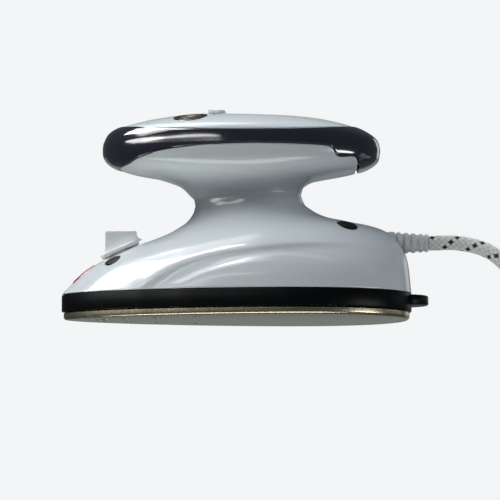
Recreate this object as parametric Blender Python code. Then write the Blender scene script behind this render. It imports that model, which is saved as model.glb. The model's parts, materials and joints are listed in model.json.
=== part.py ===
"""A travel steam iron: sole, skirt, one-piece housing with its neck, and a wide oval handle.

Metres, +Z up. The nose points to -X, the cord leaves at +X, and the sole rests on z = 0.
Every outer form is read from one lofted shape, a stack of level outlines, so the
housing, the band and the cover always meet.
"""

import math

import bmesh
import bpy
from mathutils import Matrix, Vector

# Driving sizes
BASE_LENGTH = 0.1335
HEEL_REACH = 0.0065
BASE_WIDTH = 0.0720
NECK_FRONT = 0.0510
NECK_REAR = 0.0914
NECK_WIDTH = 0.0310
HANDLE_FRONT = 0.0157
HANDLE_REAR = 0.1216
HANDLE_WIDTH = 0.0572
CROWN_HEIGHT = 0.0789
NECK_FRONT_HEIGHT = 0.0437
NECK_REAR_HEIGHT = 0.0478
NECK_SIDE_HEIGHT = 0.0455
HANDLE_DEPTH = 0.0139
CROWN_FROM_TIP = 0.0660
FIT = 0.0003
WALL = 0.0020
OVERRUN = 0.0020

# Sole, skirt and heel
SOLE_THICKNESS = 0.00265
SOLE_INSET = 0.0008
SOLE_EDGE = 0.0011
STEAM_HOLE = 0.0024
STEAM_HOLE_COUNT = 9
STEAM_HOLE_INSET = 0.0145
STEAM_HOLE_SWEEP = math.radians(112)
SKIRT_HEIGHT = 0.0066
SKIRT_WALL = 0.0036
HEEL_WIDTH = 0.0220
HEEL_THICKNESS = 0.0036
HEEL_DROP = 0.0004

# Heating block, its chamber and what lies on it
BLOCK_INSET = 0.0042
BLOCK_HEIGHT = 0.0078
NOSE_INSET_SHARE = 2.0
CHAMBER_INSET = 0.0120
CHAMBER_DEPTH = 0.0048
CHAMBER_REAR = 0.0800
ELEMENT_DIAMETER = 0.0050
ELEMENT_INSET = 0.0082
ELEMENT_REAR = 0.1020
ELEMENT_TERMINAL = 0.0070
GASKET_THICKNESS = 0.0008
GASKET_MARGIN = 0.0006
COVER_THICKNESS = 0.0010
COVER_INSET = 0.0052
SHIELD_GAP = 0.0040
SHIELD_THICKNESS = 0.0006
SHIELD_INSET = 0.0036
PILLAR_DIAMETER = 0.0040
PILLAR_SHARES = ((0.26, 0.26), (0.26, -0.26), (0.80, 0.50), (0.80, -0.50))
THERMOSTAT_DIAMETER = 0.0150
THERMOSTAT_HEIGHT = 0.0032
SPINDLE_DIAMETER = 0.0044
SPINDLE_HEIGHT = 0.0030
FUSE_DIAMETER = 0.0036
FUSE_LENGTH = 0.0150
FUSE_FROM_TIP = 0.0960
FUSE_SIDE = 0.0100
VALVE_DIAMETER = 0.0050
VALVE_HEIGHT = 0.0085
VALVE_FROM_TIP = 0.0590
VALVE_SIDE = 0.0045

# Tank and stopper
TANK_REAR = 0.0530
TANK_TOP = 0.0312
TANK_WALL = 0.0014
TANK_SIDE_GAP = 0.0032
TANK_ROOF_GAP = 0.0036
FILLER_FROM_TIP = 0.0227
FILLER_SLOPE = math.radians(23.6)
FILLER_BORE = 0.0072
GROMMET_WALL = 0.0014
NECK_TUBE_WALL = 0.0016
NECK_TUBE_LENGTH = 0.0024
NECK_BORE_DEPTH = 0.0050
CHANNEL_HEIGHT = 0.0018
CHANNEL_WIDTH = 0.0050
CHANNEL_LENGTH = 0.0058
STOPPER_LENGTH = 0.0154
STOPPER_WIDTH = 0.0090
STOPPER_THICKNESS = 0.0017
STOPPER_STEM = 0.0064
STOPPER_STEM_LENGTH = 0.0046
FIN_LENGTH = 0.0120
FIN_HEIGHT = 0.0082
FIN_THICKNESS = 0.0022
FIN_FROM_TIP = 0.0165
FIN_CORNER = 0.0014

# Lens, caps and screws in the housing
LENS_FROM_TIP = 0.0082
LENS_LENGTH = 0.0115
LENS_WIDTH = 0.0090
LENS_PROUD = 0.0003
LAMP_DIAMETER = 0.0044
LAMP_LENGTH = 0.0022
CAP_FRONT_DIAMETER = 0.0066
CAP_REAR_DIAMETER = 0.0082
CAP_STATION_SHARES = (0.1483, 0.8135)
CAP_HEIGHT_SHARES = (0.457, 0.756)
CAP_PROUD = 0.0002
CAP_DEPTH = 0.0016
SCREW_HEAD = 0.0048
SCREW_HEAD_HEIGHT = 0.0014
SCREW_SHANK = 0.0022
SCREW_LENGTH = 0.0018
BOSS_DIAMETER = 0.0074
BOSS_LENGTH = 0.0034

# Handle band, cover and dish
BAND_SIDE_DROP = 0.0082
BAND_ENDS_DROP = 0.0053
BAND_WALL = 0.0020
BAND_PROUD = 0.0003
DISH_FROM_TIP = 0.0735
DISH_LENGTH = 0.0430
DISH_WIDTH = 0.0270
DISH_DEPTH = 0.0036
DISH_POWER = 6.0
COVER_RIM_ROWS = 6
DISH_ROWS = 4

# Steam button and pump
BUTTON_FROM_TIP = 0.0400
BUTTON_LENGTH = 0.0200
BUTTON_WIDTH = 0.0205
BUTTON_PROUD = 0.0003
BUTTON_DEPTH = 0.0020
BUTTON_TRAVEL = 0.0022
PUMP_DIAMETER = 0.0100
PUMP_BORE = 0.0066
PUMP_FLOOR_GAP = 0.0004
PUMP_FLOOR = 0.0025
PUMP_FLANGE = 0.0140
PUMP_FLANGE_THICKNESS = 0.0014
PUMP_TOP_RISE = 0.0004
SPRING_ROOM = 0.0012
PISTON_DIAMETER = 0.0060
PISTON_HEIGHT = 0.0040
ROD_DIAMETER = 0.0034
SPRING_WIRE = 0.0008
SPRING_DIAMETER = 0.0072
SPRING_TURNS = 3
SPRING_POINTS_PER_TURN = 10

# Setting buttons, board and frame
SETTING_FROM_TIP = 0.0494
SETTING_SIDE = 0.0150
SETTING_RING = 0.0128
SETTING_CAP = 0.0084
SETTING_PROUD = 0.0004
SETTING_CAP_HEIGHT = 0.0024
SETTING_TRAVEL = 0.0010
SETTING_STEM = 0.0030
RING_PROUD = 0.0002
RING_DEPTH = 0.0024
FRAME_DROP = 0.0010
FRAME_THICKNESS = 0.0018
FRAME_INSET = 0.0026
BOARD_FRONT = 0.0330
BOARD_REAR = 0.0640
BOARD_WIDTH = 0.0360
BOARD_THICKNESS = 0.0012
SWITCH_SIDE = 0.0054
SWITCH_HEIGHT = 0.0034

# Temperature lever and shaft
LEVER_FROM_TIP = 0.0700
LEVER_REACH = 0.0170
LEVER_HUB = 0.0180
LEVER_TIP = 0.0056
LEVER_NOSE = 0.0090
LEVER_SINK = 0.0011
LEVER_THICKNESS = 0.0014
LEVER_TAIL_DROP = 0.0003
TAB_FRONT = 0.0540
TAB_LENGTH = 0.0095
TAB_WIDTH = 0.0060
TAB_THICKNESS = 0.0026
TAB_EDGE = 0.0004
LEVER_RIB = 0.0022
LEVER_RIB_RISE = 0.0007
SHAFT_DIAMETER = 0.0040

# Cord, its relief and what holds it
CORD_DIAMETER = 0.0056
CORD_HEIGHT = 0.0295
RELIEF_INNER = 0.1135
RELIEF_ROOT = 0.1250
RELIEF_END = 0.1400
RELIEF_INNER_DIAMETER = 0.0058
RELIEF_ROOT_DIAMETER = 0.0088
RELIEF_TIP_DIAMETER = 0.0066
RELIEF_GROOVES = 4
RELIEF_GROOVE_DEPTH = 0.0005
CLAMP_FROM_TIP = 0.1150
CLAMP_THICKNESS = 0.0030
CLAMP_WIDTH = 0.0140
CLAMP_RISE = 0.0035
TERMINAL_FRONT = 0.0960
TERMINAL_LENGTH = 0.0150
TERMINAL_WIDTH = 0.0150
TERMINAL_HEIGHT = 0.0085
HOSE_DIAMETER = 0.0032
HOSE_SIDE = 0.0030

# Coil and plug
COIL_TURNS = 8.75
COIL_LAYERS = 4
COIL_CLIMB_TURNS = 0.5
COIL_MIDDLE_DIAMETER = 0.0598
COIL_PITCH = 0.0062
COIL_LAYER_RISE = 0.0061
COIL_POINTS_PER_TURN = 24
CORD_ROUTE_SHARES = (
    (0.107, 0.000, 0.000), (0.149, 0.004, 0.011), (0.192, 0.025, 0.045), (0.245, 0.072, 0.125),
    (0.299, 0.141, 0.257), (0.355, 0.228, 0.500), (0.412, 0.329, 0.743), (0.465, 0.431, 0.875),
    (0.518, 0.535, 0.955), (0.561, 0.619, 0.989), (0.603, 0.699, 1.000), (0.704, 0.863, 1.000),
    (0.810, 0.977, 1.000),
)
COIL_CENTRE_FROM_TIP = 0.2400
COIL_START_SIDE = -0.0180
TAIL_RADIUS = 0.0240
TAIL_POINTS = 5
LIFT_POINTS = 9
PLUG_LENGTH = 0.0360
PLUG_WIDTH = 0.0250
PLUG_THICKNESS = 0.0136
PLUG_CORD_END = 0.0090
PIN_DIAMETER = 0.0040
PIN_LENGTH = 0.0190
PIN_SPACING = 0.0186

# Counts of the lofts
ROUND = 40
BODY_ROWS = 14
FLARE_ROWS = 10
BAND_ROWS = 4
HOLE_SIDES = 10
CAP_SIDES = 18
BUTTON_SIDES = 30

TIP_X = -(BASE_LENGTH + HEEL_REACH) / 2
HANDLE_HEIGHT = CROWN_HEIGHT - HANDLE_DEPTH
BAND_TOP_SIDE = CROWN_HEIGHT - BAND_SIDE_DROP
BAND_TOP_ENDS = CROWN_HEIGHT - BAND_ENDS_DROP
CLAMP_TOP = CORD_HEIGHT + CLAMP_RISE
CAP_FRONT_FROM_TIP = BASE_LENGTH * CAP_STATION_SHARES[0]
CAP_REAR_FROM_TIP = BASE_LENGTH * CAP_STATION_SHARES[1]
CAP_FRONT_HEIGHT = NECK_SIDE_HEIGHT * CAP_HEIGHT_SHARES[0]
CAP_REAR_HEIGHT = NECK_SIDE_HEIGHT * CAP_HEIGHT_SHARES[1]
LEVER_TOP = CROWN_HEIGHT - LEVER_SINK
LEVER_UNDER = LEVER_TOP - LEVER_THICKNESS
FRAME_HEIGHT = HANDLE_HEIGHT - FRAME_DROP
SKIRT_LOW = SOLE_THICKNESS + FIT
SKIRT_TOP = SKIRT_LOW + SKIRT_HEIGHT
HOUSING_LOW = SKIRT_TOP + FIT
BLOCK_LOW = SOLE_THICKNESS + FIT
BLOCK_TOP = BLOCK_LOW + BLOCK_HEIGHT
GASKET_LOW = BLOCK_TOP + FIT
COVER_LOW = GASKET_LOW + GASKET_THICKNESS + FIT
COVER_TOP = COVER_LOW + COVER_THICKNESS
SHIELD_LOW = COVER_TOP + FIT + SHIELD_GAP
SHIELD_TOP = SHIELD_LOW + SHIELD_THICKNESS
FRAME_TOP = FRAME_HEIGHT + FRAME_THICKNESS
BOARD_LOW = FRAME_TOP + FIT
BOARD_TOP = BOARD_LOW + BOARD_THICKNESS

# The silhouette of the nose: height share, share of the way from the tip to the neck.
NOSE_SHARES = (
    (0.000, 0.000), (0.093, 0.061), (0.180, 0.120), (0.259, 0.180), (0.349, 0.271),
    (0.465, 0.431), (0.541, 0.549), (0.616, 0.690), (0.692, 0.810), (0.747, 0.871),
    (0.805, 0.929), (0.860, 0.961), (0.920, 0.985), (1.000, 1.000),
)
# The rear: height share, share of the way from the heel to the neck.
REAR_SHARES = (
    (0.000, 0.000), (0.058, 0.006), (0.160, 0.014), (0.280, 0.026), (0.404, 0.055),
    (0.470, 0.086), (0.525, 0.124), (0.594, 0.181), (0.644, 0.259), (0.683, 0.373),
    (0.707, 0.487), (0.734, 0.601), (0.757, 0.713), (0.802, 0.827), (0.852, 0.905),
    (0.905, 0.965), (1.000, 1.000),
)
# The sides: height share, share of the way from the full width to the neck's.
SIDE_SHARES = (
    (0.000, 0.000), (0.120, 0.012), (0.235, 0.050), (0.345, 0.120), (0.457, 0.220),
    (0.568, 0.360), (0.680, 0.545), (0.763, 0.700), (0.847, 0.845), (0.930, 0.955),
    (1.000, 1.000),
)
# The handle's underside: height share, share of the way from the neck to the handle.
FRONT_FLARE_SHARES = (
    (0.000, 0.000), (0.110, 0.014), (0.188, 0.060), (0.298, 0.122), (0.370, 0.187),
    (0.442, 0.297), (0.519, 0.448), (0.591, 0.686), (0.663, 0.827), (0.740, 0.924),
    (0.813, 0.969), (0.928, 0.999), (1.000, 1.000),
)
REAR_FLARE_SHARES = (
    (0.000, 0.000), (0.161, 0.026), (0.253, 0.089), (0.339, 0.192), (0.408, 0.368),
    (0.471, 0.570), (0.529, 0.722), (0.626, 0.874), (0.782, 0.977), (1.000, 1.000),
)
SIDE_FLARE_SHARES = (
    (0.000, 0.000), (0.128, 0.020), (0.231, 0.100), (0.333, 0.270), (0.410, 0.450),
    (0.487, 0.620), (0.564, 0.755), (0.641, 0.850), (0.744, 0.935), (0.872, 0.985),
    (1.000, 1.000),
)
# The top: height share, share of the way from the handle's edge to the crown.
FRONT_CROWN_SHARES = (
    (0.000, 0.000), (0.104, 0.001), (0.257, 0.014), (0.417, 0.038), (0.576, 0.099),
    (0.674, 0.183), (0.764, 0.274), (0.882, 0.433), (0.979, 0.700), (1.000, 1.000),
)
REAR_CROWN_SHARES = (
    (0.000, 0.000), (0.219, 0.013), (0.474, 0.085), (0.613, 0.161), (0.752, 0.275),
    (0.854, 0.397), (0.934, 0.604), (0.978, 0.780), (1.000, 1.000),
)
SIDE_CROWN_SHARES = (
    (0.000, 0.000), (0.290, 0.010), (0.432, 0.035), (0.576, 0.120), (0.683, 0.220),
    (0.800, 0.360), (0.878, 0.480), (0.948, 0.650), (0.984, 0.820), (1.000, 1.000),
)
# Where the widest station lies, and the two powers that round the nose and the rear.
BASE_PLAN_SHARES = (0.650, 1.60, 1.70, 2.30, 2.20)
NECK_PLAN_SHARES = (0.532, 2.00, 2.00, 2.00, 2.00)
HANDLE_PLAN_SHARES = (0.535, 2.10, 2.05, 2.30, 2.15)
CROWN_PLAN_SHARES = (0.494, 2.00, 2.00, 2.00, 2.00)
# The band's lower edge: share of the handle's length, share of the way from the neck to the top edge's ends.
BAND_LOW_SHARES = (
    (0.000, 0.395), (0.026, 0.404), (0.054, 0.417), (0.106, 0.473), (0.144, 0.514),
    (0.211, 0.576), (0.272, 0.605), (0.392, 0.645), (0.549, 0.661), (0.784, 0.644),
    (0.820, 0.628), (0.834, 0.560), (0.848, 0.500), (0.866, 0.490), (0.885, 0.495),
    (0.909, 0.510), (0.937, 0.459), (0.965, 0.399), (1.000, 0.355),
)
# The two swept folds in each side: share of the base length, share of the height up to the neck.
UPPER_FOLD_SHARES = (
    (0.090, 0.290), (0.240, 0.430), (0.400, 0.545), (0.520, 0.600), (0.700, 0.640), (0.950, 0.610),
)
LOWER_FOLD_SHARES = (
    (0.300, 0.215), (0.400, 0.310), (0.520, 0.420), (0.640, 0.470), (0.780, 0.440), (0.920, 0.370),
)
UPPER_FOLD_DEPTH = 0.0009
UPPER_FOLD_REACH = 0.0070
LOWER_FOLD_DEPTH = 0.0008
LOWER_FOLD_REACH = 0.0030
FOLD_FADE_SHARE = 0.16
SLOPE_STEP = 0.0015
SKIN_STEP = 0.0004


def along(from_tip):
    """World X of a distance behind the skirt's tip."""
    return TIP_X + from_tip


def curve_through(shares, at):
    """A smooth curve through the pairs of shares that keeps rising where they rise."""
    keys = [pair[0] for pair in shares]
    values = [pair[1] for pair in shares]
    at = min(max(at, keys[0]), keys[-1])
    rises = [(values[i + 1] - values[i]) / (keys[i + 1] - keys[i]) for i in range(len(keys) - 1)]
    slopes = [rises[0]]
    for before, after in zip(rises, rises[1:]):
        slopes.append(0.0 if before * after <= 0 else 2 * before * after / (before + after))
    slopes.append(rises[-1])
    place = max(i for i in range(len(keys) - 1) if keys[i] <= at)
    span = keys[place + 1] - keys[place]
    t = (at - keys[place]) / span
    return (
        values[place] * (1 + 2 * t) * (1 - t) ** 2
        + slopes[place] * span * t * (1 - t) ** 2
        + values[place + 1] * t * t * (3 - 2 * t)
        - slopes[place + 1] * span * t * t * (1 - t)
    )


def crown_curve(shares, at):
    """The same for the top, in the root of the depth under the crown, so that the top is round."""
    rooted = [(1 - math.sqrt(1 - key), value) for key, value in shares]
    return curve_through(rooted, 1 - math.sqrt(max(0.0, 1 - at)))


def reach(height, neck_height, below, above, crown, places):
    """One side of the outline at this height, through its places at the base, neck, handle and crown."""
    base, neck, handle, top = places
    if height <= neck_height:
        share = curve_through(below, (height - HOUSING_LOW) / (neck_height - HOUSING_LOW))
        return base + (neck - base) * share
    if height <= HANDLE_HEIGHT:
        share = curve_through(above, (height - neck_height) / (HANDLE_HEIGHT - neck_height))
        return neck + (handle - neck) * share
    share = crown_curve(crown, min(1.0, (height - HANDLE_HEIGHT) / (CROWN_HEIGHT - HANDLE_HEIGHT)))
    return handle + (top - handle) * share


def plan_at(height):
    """Share of the widest station and the powers of the outline at this height."""
    if height <= NECK_SIDE_HEIGHT:
        share = curve_through(SIDE_SHARES, (height - HOUSING_LOW) / (NECK_SIDE_HEIGHT - HOUSING_LOW))
        first, second = BASE_PLAN_SHARES, NECK_PLAN_SHARES
    elif height <= HANDLE_HEIGHT:
        rise = (height - NECK_SIDE_HEIGHT) / (HANDLE_HEIGHT - NECK_SIDE_HEIGHT)
        share = curve_through(SIDE_FLARE_SHARES, rise)
        first, second = NECK_PLAN_SHARES, HANDLE_PLAN_SHARES
    else:
        share = min(1.0, (height - HANDLE_HEIGHT) / (CROWN_HEIGHT - HANDLE_HEIGHT))
        first, second = HANDLE_PLAN_SHARES, CROWN_PLAN_SHARES
    return [a + (b - a) * share for a, b in zip(first, second)]


def section_at(height, inset=0.0, nose_share=NOSE_INSET_SHARE):
    """Front, rear, half width and widest station of the form, drawn in by the inset."""
    height = max(height, HOUSING_LOW)
    fronts = (0.0, NECK_FRONT, HANDLE_FRONT, CROWN_FROM_TIP)
    rears = (BASE_LENGTH, NECK_REAR, HANDLE_REAR, CROWN_FROM_TIP)
    halves = (BASE_WIDTH / 2, NECK_WIDTH / 2, HANDLE_WIDTH / 2, 0.0)
    front = reach(height, NECK_FRONT_HEIGHT, NOSE_SHARES, FRONT_FLARE_SHARES, FRONT_CROWN_SHARES, fronts)
    rear = reach(height, NECK_REAR_HEIGHT, REAR_SHARES, REAR_FLARE_SHARES, REAR_CROWN_SHARES, rears)
    half = reach(height, NECK_SIDE_HEIGHT, SIDE_SHARES, SIDE_FLARE_SHARES, SIDE_CROWN_SHARES, halves)
    middle_share, *powers = plan_at(height)
    middle = BASE_LENGTH * middle_share
    nose = front + inset * (nose_share if height < NECK_FRONT_HEIGHT else 1.0)
    return nose, rear - inset, half - inset, middle, powers


def fold_depth(from_tip, height):
    """How far the swept folds draw the side in, negative, or lift it, at this place."""
    if height >= NECK_FRONT_HEIGHT:
        return 0.0
    share = from_tip / BASE_LENGTH
    rise = NECK_FRONT_HEIGHT - HOUSING_LOW
    depth = 0.0
    for shares, size, span, lifts in (
        (UPPER_FOLD_SHARES, UPPER_FOLD_DEPTH, UPPER_FOLD_REACH, False),
        (LOWER_FOLD_SHARES, LOWER_FOLD_DEPTH, LOWER_FOLD_REACH, True),
    ):
        fade = min(share - shares[0][0], shares[-1][0] - share) / FOLD_FADE_SHARE
        if fade <= 0:
            continue
        fade = min(1.0, fade)
        under = (HOUSING_LOW + rise * curve_through(shares, share) - height) / span
        if lifts:
            depth += size * fade * math.exp(-(under ** 2))
        elif under > 0:
            depth -= size * fade * 4 * under * math.exp(-3 * under)
    return depth


def outline_point(height, turn, inset=0.0, nose_share=NOSE_INSET_SHARE):
    """A point of the level outline; turn 0 is the nose, and it runs round the left side first."""
    front, rear, half, middle, powers = section_at(height, inset, nose_share)
    ahead, across = math.cos(turn), math.sin(turn)
    long_power, wide_power = powers[:2] if ahead >= 0 else powers[2:]
    reach_out = abs(ahead) ** (2 / long_power)
    x = middle - (middle - front) * reach_out if ahead >= 0 else middle + (rear - middle) * reach_out
    side = half * abs(across) ** (2 / wide_power)
    side += fold_depth(x, height) * min(1.0, side / half * 2)
    return Vector((along(x), -math.copysign(side, across), height))


def outline(height, inset=0.0, count=ROUND):
    return [outline_point(height, 2 * math.pi * i / count, inset) for i in range(count)]


def flat_outline(height, inset, at_height):
    """The form's outline read at one height and laid at another."""
    return [Vector((p.x, p.y, at_height)) for p in outline(height, inset)]


def surface_height(x, y):
    """Height of the handle's top over a point, by halving."""
    low, high = HANDLE_HEIGHT, CROWN_HEIGHT
    for _ in range(24):
        middle_height = (low + high) / 2
        front, rear, half, middle, powers = section_at(middle_height)
        from_tip = x - TIP_X
        ahead = from_tip < middle
        span = (middle - front) if ahead else (rear - middle)
        share = abs(from_tip - middle) / span if span > 0 else 2.0
        long_power, wide_power = powers[:2] if ahead else powers[2:]
        across = abs(y) / half if half > 0 else 2.0
        if share ** long_power + across ** wide_power < 1:
            low = middle_height
        else:
            high = middle_height
    return low


def ridge_point(from_tip):
    """The point of the nose's centre line this far behind the tip."""
    low, high = HOUSING_LOW, NECK_FRONT_HEIGHT
    for _ in range(24):
        height = (low + high) / 2
        if section_at(height)[0] < from_tip:
            low = height
        else:
            high = height
    return Vector((along(from_tip), 0.0, low))


def ridge_axis(from_tip, step=SLOPE_STEP):
    """The outward direction at that point."""
    ahead, behind = ridge_point(from_tip - step), ridge_point(from_tip + step)
    slope = behind - ahead
    return Vector((-slope.z, 0.0, slope.x)).normalized()


def side_point(from_tip, height, side):
    """The point of the body's side at this station and height; side is -1 left or 1 right."""
    low, high = 0.0, math.pi / 2
    if from_tip > section_at(height)[3]:
        low, high = math.pi / 2, math.pi
    for _ in range(24):
        turn = (low + high) / 2
        if outline_point(height, turn).x < along(from_tip):
            low = turn
        else:
            high = turn
    point = outline_point(height, low)
    return Vector((point.x, side * abs(point.y), point.z))


def side_axis(from_tip, height, side, step=SLOPE_STEP):
    """The outward direction at that point."""
    level = side_point(from_tip + step, height, side) - side_point(from_tip - step, height, side)
    upright = side_point(from_tip, height + step, side) - side_point(from_tip, height - step, side)
    normal = level.cross(upright).normalized()
    return normal if normal.y * side > 0 else -normal


def band_low(turn):
    """Height of the band's lower edge round the handle."""
    share = (outline_point(HANDLE_HEIGHT, turn).x - along(HANDLE_FRONT)) / (HANDLE_REAR - HANDLE_FRONT)
    return NECK_REAR_HEIGHT + (BAND_TOP_ENDS - NECK_REAR_HEIGHT) * curve_through(BAND_LOW_SHARES, share)


def band_top(turn):
    """Height of the band's upper edge, which dips at the sides."""
    return BAND_TOP_ENDS - (BAND_TOP_ENDS - BAND_TOP_SIDE) * math.sin(turn) ** 2


def material_of(name, colour, roughness, metallic=0.0, alpha=1.0):
    material = bpy.data.materials.get(name) or bpy.data.materials.new(name)
    material.use_nodes = True
    shader = material.node_tree.nodes["Principled BSDF"]
    shader.inputs["Base Color"].default_value = (*colour, 1.0)
    shader.inputs["Roughness"].default_value = roughness
    shader.inputs["Metallic"].default_value = metallic
    shader.inputs["Alpha"].default_value = alpha
    return material


FINISHES = {
    "white": ((0.78, 0.81, 0.83), 0.22, 0.0),
    "band": ((0.012, 0.010, 0.018), 0.12, 0.0),
    "black": ((0.008, 0.009, 0.010), 0.45, 0.0),
    "steel": ((0.45, 0.44, 0.40), 0.30, 1.0),
    "aluminium": ((0.60, 0.60, 0.60), 0.45, 1.0),
    "brass": ((0.60, 0.45, 0.18), 0.35, 1.0),
    "rubber": ((0.12, 0.12, 0.12), 0.60, 0.0),
    "milky": ((0.70, 0.76, 0.80), 0.35, 0.0),
    "red": ((0.45, 0.01, 0.02), 0.15, 0.0),
    "smoke": ((0.10, 0.11, 0.12), 0.10, 0.0),
    "olive": ((0.06, 0.055, 0.03), 0.15, 0.0),
    "clear": ((0.55, 0.62, 0.66), 0.20, 0.0),
    "board": ((0.05, 0.20, 0.08), 0.50, 0.0),
    "braid": ((0.70, 0.70, 0.68), 0.80, 0.0),
    "grey": ((0.42, 0.44, 0.46), 0.50, 0.0),
}


def finish(name):
    colour, roughness, metallic = FINISHES[name]
    return material_of(name, colour, roughness, metallic)


def object_of(name, mesh_data, finish_name, smooth_angle=35):
    """A named object of the finished mesh, round faces smooth and edges sharp."""
    made = bpy.data.objects.new(name, mesh_data)
    bpy.context.scene.collection.objects.link(made)
    made.data.materials.append(finish(finish_name))
    mesh_data.shade_smooth()
    mesh_data.set_sharp_from_angle(angle=math.radians(smooth_angle))
    return made


def mesh_from(name, build, tidy=True):
    """A mesh of what build adds to an empty bmesh."""
    shape = bmesh.new()
    build(shape)
    if tidy:
        bmesh.ops.recalc_face_normals(shape, faces=shape.faces)
    data = bpy.data.meshes.new(name)
    shape.to_mesh(data)
    shape.free()
    return data


def add_rows(shape, rows, closed=True, low_cap=True, top_cap=True):
    """Faces between rows of points, with flat caps where asked."""
    rings = [[shape.verts.new(p) for p in row] for row in rows]
    count = len(rows[0])
    for lower, upper in zip(rings, rings[1:]):
        for i in range(count if closed else count - 1):
            j = (i + 1) % count
            shape.faces.new((lower[i], lower[j], upper[j], upper[i]))
    if low_cap:
        shape.faces.new(rings[0][::-1])
    if top_cap:
        shape.faces.new(rings[-1])
    return rings


def loft(name, rows, finish_name, **caps):
    return object_of(name, mesh_from(name, lambda shape: add_rows(shape, rows, **caps)), finish_name)


def circle(radius, height, count, x=0.0, y=0.0, wide=1.0):
    turns = [2 * math.pi * i / count for i in range(count)]
    return [Vector((x + radius * math.cos(t), y + radius * wide * math.sin(t), height)) for t in turns]


def turned_rows(profile, count, x=0.0, y=0.0, wide=1.0):
    """Rows of circles from (radius, height) pairs."""
    return [circle(radius, height, count, x, y, wide) for radius, height in profile]


def add_ring(shape, profile, count, x=0.0, y=0.0):
    """A closed ring turned from a loop of (radius, height) pairs."""
    rings = [[shape.verts.new(p) for p in circle(r, z, count, x, y)] for r, z in profile]
    for lower, upper in zip(rings, rings[1:] + rings[:1]):
        for i in range(count):
            j = (i + 1) % count
            shape.faces.new((lower[i], lower[j], upper[j], upper[i]))


def ring(name, profile, finish_name, count=CAP_SIDES, x=0.0, y=0.0):
    return object_of(name, mesh_from(name, lambda s: add_ring(s, profile, count, x, y)), finish_name)


def turned(name, profile, finish_name, count=CAP_SIDES, x=0.0, y=0.0, wide=1.0):
    return loft(name, turned_rows(profile, count, x, y, wide), finish_name)


def box_rows(low, high):
    corners = ((low[0], low[1]), (high[0], low[1]), (high[0], high[1]), (low[0], high[1]))
    return [[Vector((x, y, z)) for x, y in corners] for z in (low[2], high[2])]


def block(name, low, high, finish_name):
    return loft(name, box_rows(low, high), finish_name)


def facing(point, axis):
    """The turn and place that lay a shape made along +Z at a point, along an axis."""
    return Matrix.Translation(point) @ Vector((0, 0, 1)).rotation_difference(axis).to_matrix().to_4x4()


def lay(made, point, axis):
    """Lays an object's mesh, made along +Z at the origin, at a point along an axis."""
    made.data.transform(facing(point, axis))
    return made


def cutter_of(name, parts):
    """One hidden shape of several separate closed lofts, for a Boolean."""
    def build(shape):
        for rows in parts:
            add_rows(shape, rows)
    made = bpy.data.objects.new(name, mesh_from(name, build))
    bpy.context.scene.collection.objects.link(made)
    made.hide_render = True
    made.display_type = "WIRE"
    return made


def combine(made, other, operation):
    modifier = made.modifiers.new(operation.title(), "BOOLEAN")
    modifier.operation = operation
    modifier.solver = "EXACT"
    modifier.object = other
    return made


def cut(made, parts):
    return combine(made, cutter_of(made.name + "_cutter", parts), "DIFFERENCE")


def join(made, parts):
    return combine(made, cutter_of(made.name + "_addition", parts), "UNION")


def laid_rows(rows, point, axis):
    """Rows made along +Z, laid at a point along an axis."""
    place = facing(point, axis)
    return [[place @ p for p in row] for row in rows]


def drill(diameter, low, high, count=HOLE_SIDES, x=0.0, y=0.0, wide=1.0):
    """Rows of a straight cutter or pin."""
    return turned_rows(((diameter / 2, low), (diameter / 2, high)), count, x, y, wide)


def form_axis(height, turn, step=SKIN_STEP):
    """The outward direction of the form at a point of its outline."""
    little = step / BASE_LENGTH * 2 * math.pi
    level = outline_point(height, turn + little) - outline_point(height, turn - little)
    upright = outline_point(height + step, turn) - outline_point(height - step, turn)
    return level.cross(upright).normalized()


def shell(name, rows, wall, finish_name, first_axes=None, last_axes=None, middle=None, proud=0.0):
    """A closed wall inward from rows of an outer skin, open or closed by a middle point.

    The axes given for the first and last rows keep the edges of neighbouring shells apart.
    """
    shape = bmesh.new()
    add_rows(shape, rows, low_cap=False, top_cap=False)
    count = len(rows[0])
    last = (len(rows) - 1) * count
    if middle:
        ring_round = list(shape.verts)[last:]
        centre = shape.verts.new(middle)
        for i in range(count):
            shape.faces.new((ring_round[i], ring_round[(i + 1) % count], centre))
    shape.normal_update()
    skin = list(shape.verts)
    axes = [vert.normal.copy() for vert in skin]
    for start, given in ((0, first_axes), (last, last_axes)):
        for i, axis in enumerate(given or ()):
            axes[start + i] = axis
    faces = list(shape.faces)
    inner = [shape.verts.new(vert.co - axis * (wall - proud)) for vert, axis in zip(skin, axes)]
    place = {vert: i for i, vert in enumerate(skin)}
    for face in faces:
        shape.faces.new([inner[place[vert]] for vert in reversed(face.verts)])
    for i in range(count):
        j = (i + 1) % count
        shape.faces.new((skin[j], skin[i], inner[i], inner[j]))
        if not middle:
            shape.faces.new((skin[last + i], skin[last + j], inner[last + j], inner[last + i]))
    for vert, axis in zip(skin, axes):
        vert.co += axis * proud
    data = bpy.data.meshes.new(name)
    shape.to_mesh(data)
    shape.free()
    return object_of(name, data, finish_name)


def thicken(made, thickness, proud=0.0):
    """A wall inward from a skin, or one that starts a little outside it."""
    modifier = made.modifiers.new("Wall", "SOLIDIFY")
    modifier.thickness = thickness
    modifier.offset = -1 + 2 * proud / thickness
    modifier.use_even_offset = True
    return made


def inset_loft(name, levels, finish_name, read_at=None):
    """A closed loft of the form's outline, each level an inset and a height."""
    rows = [flat_outline(read_at or height, inset, height) for inset, height in levels]
    return loft(name, rows, finish_name)


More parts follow.
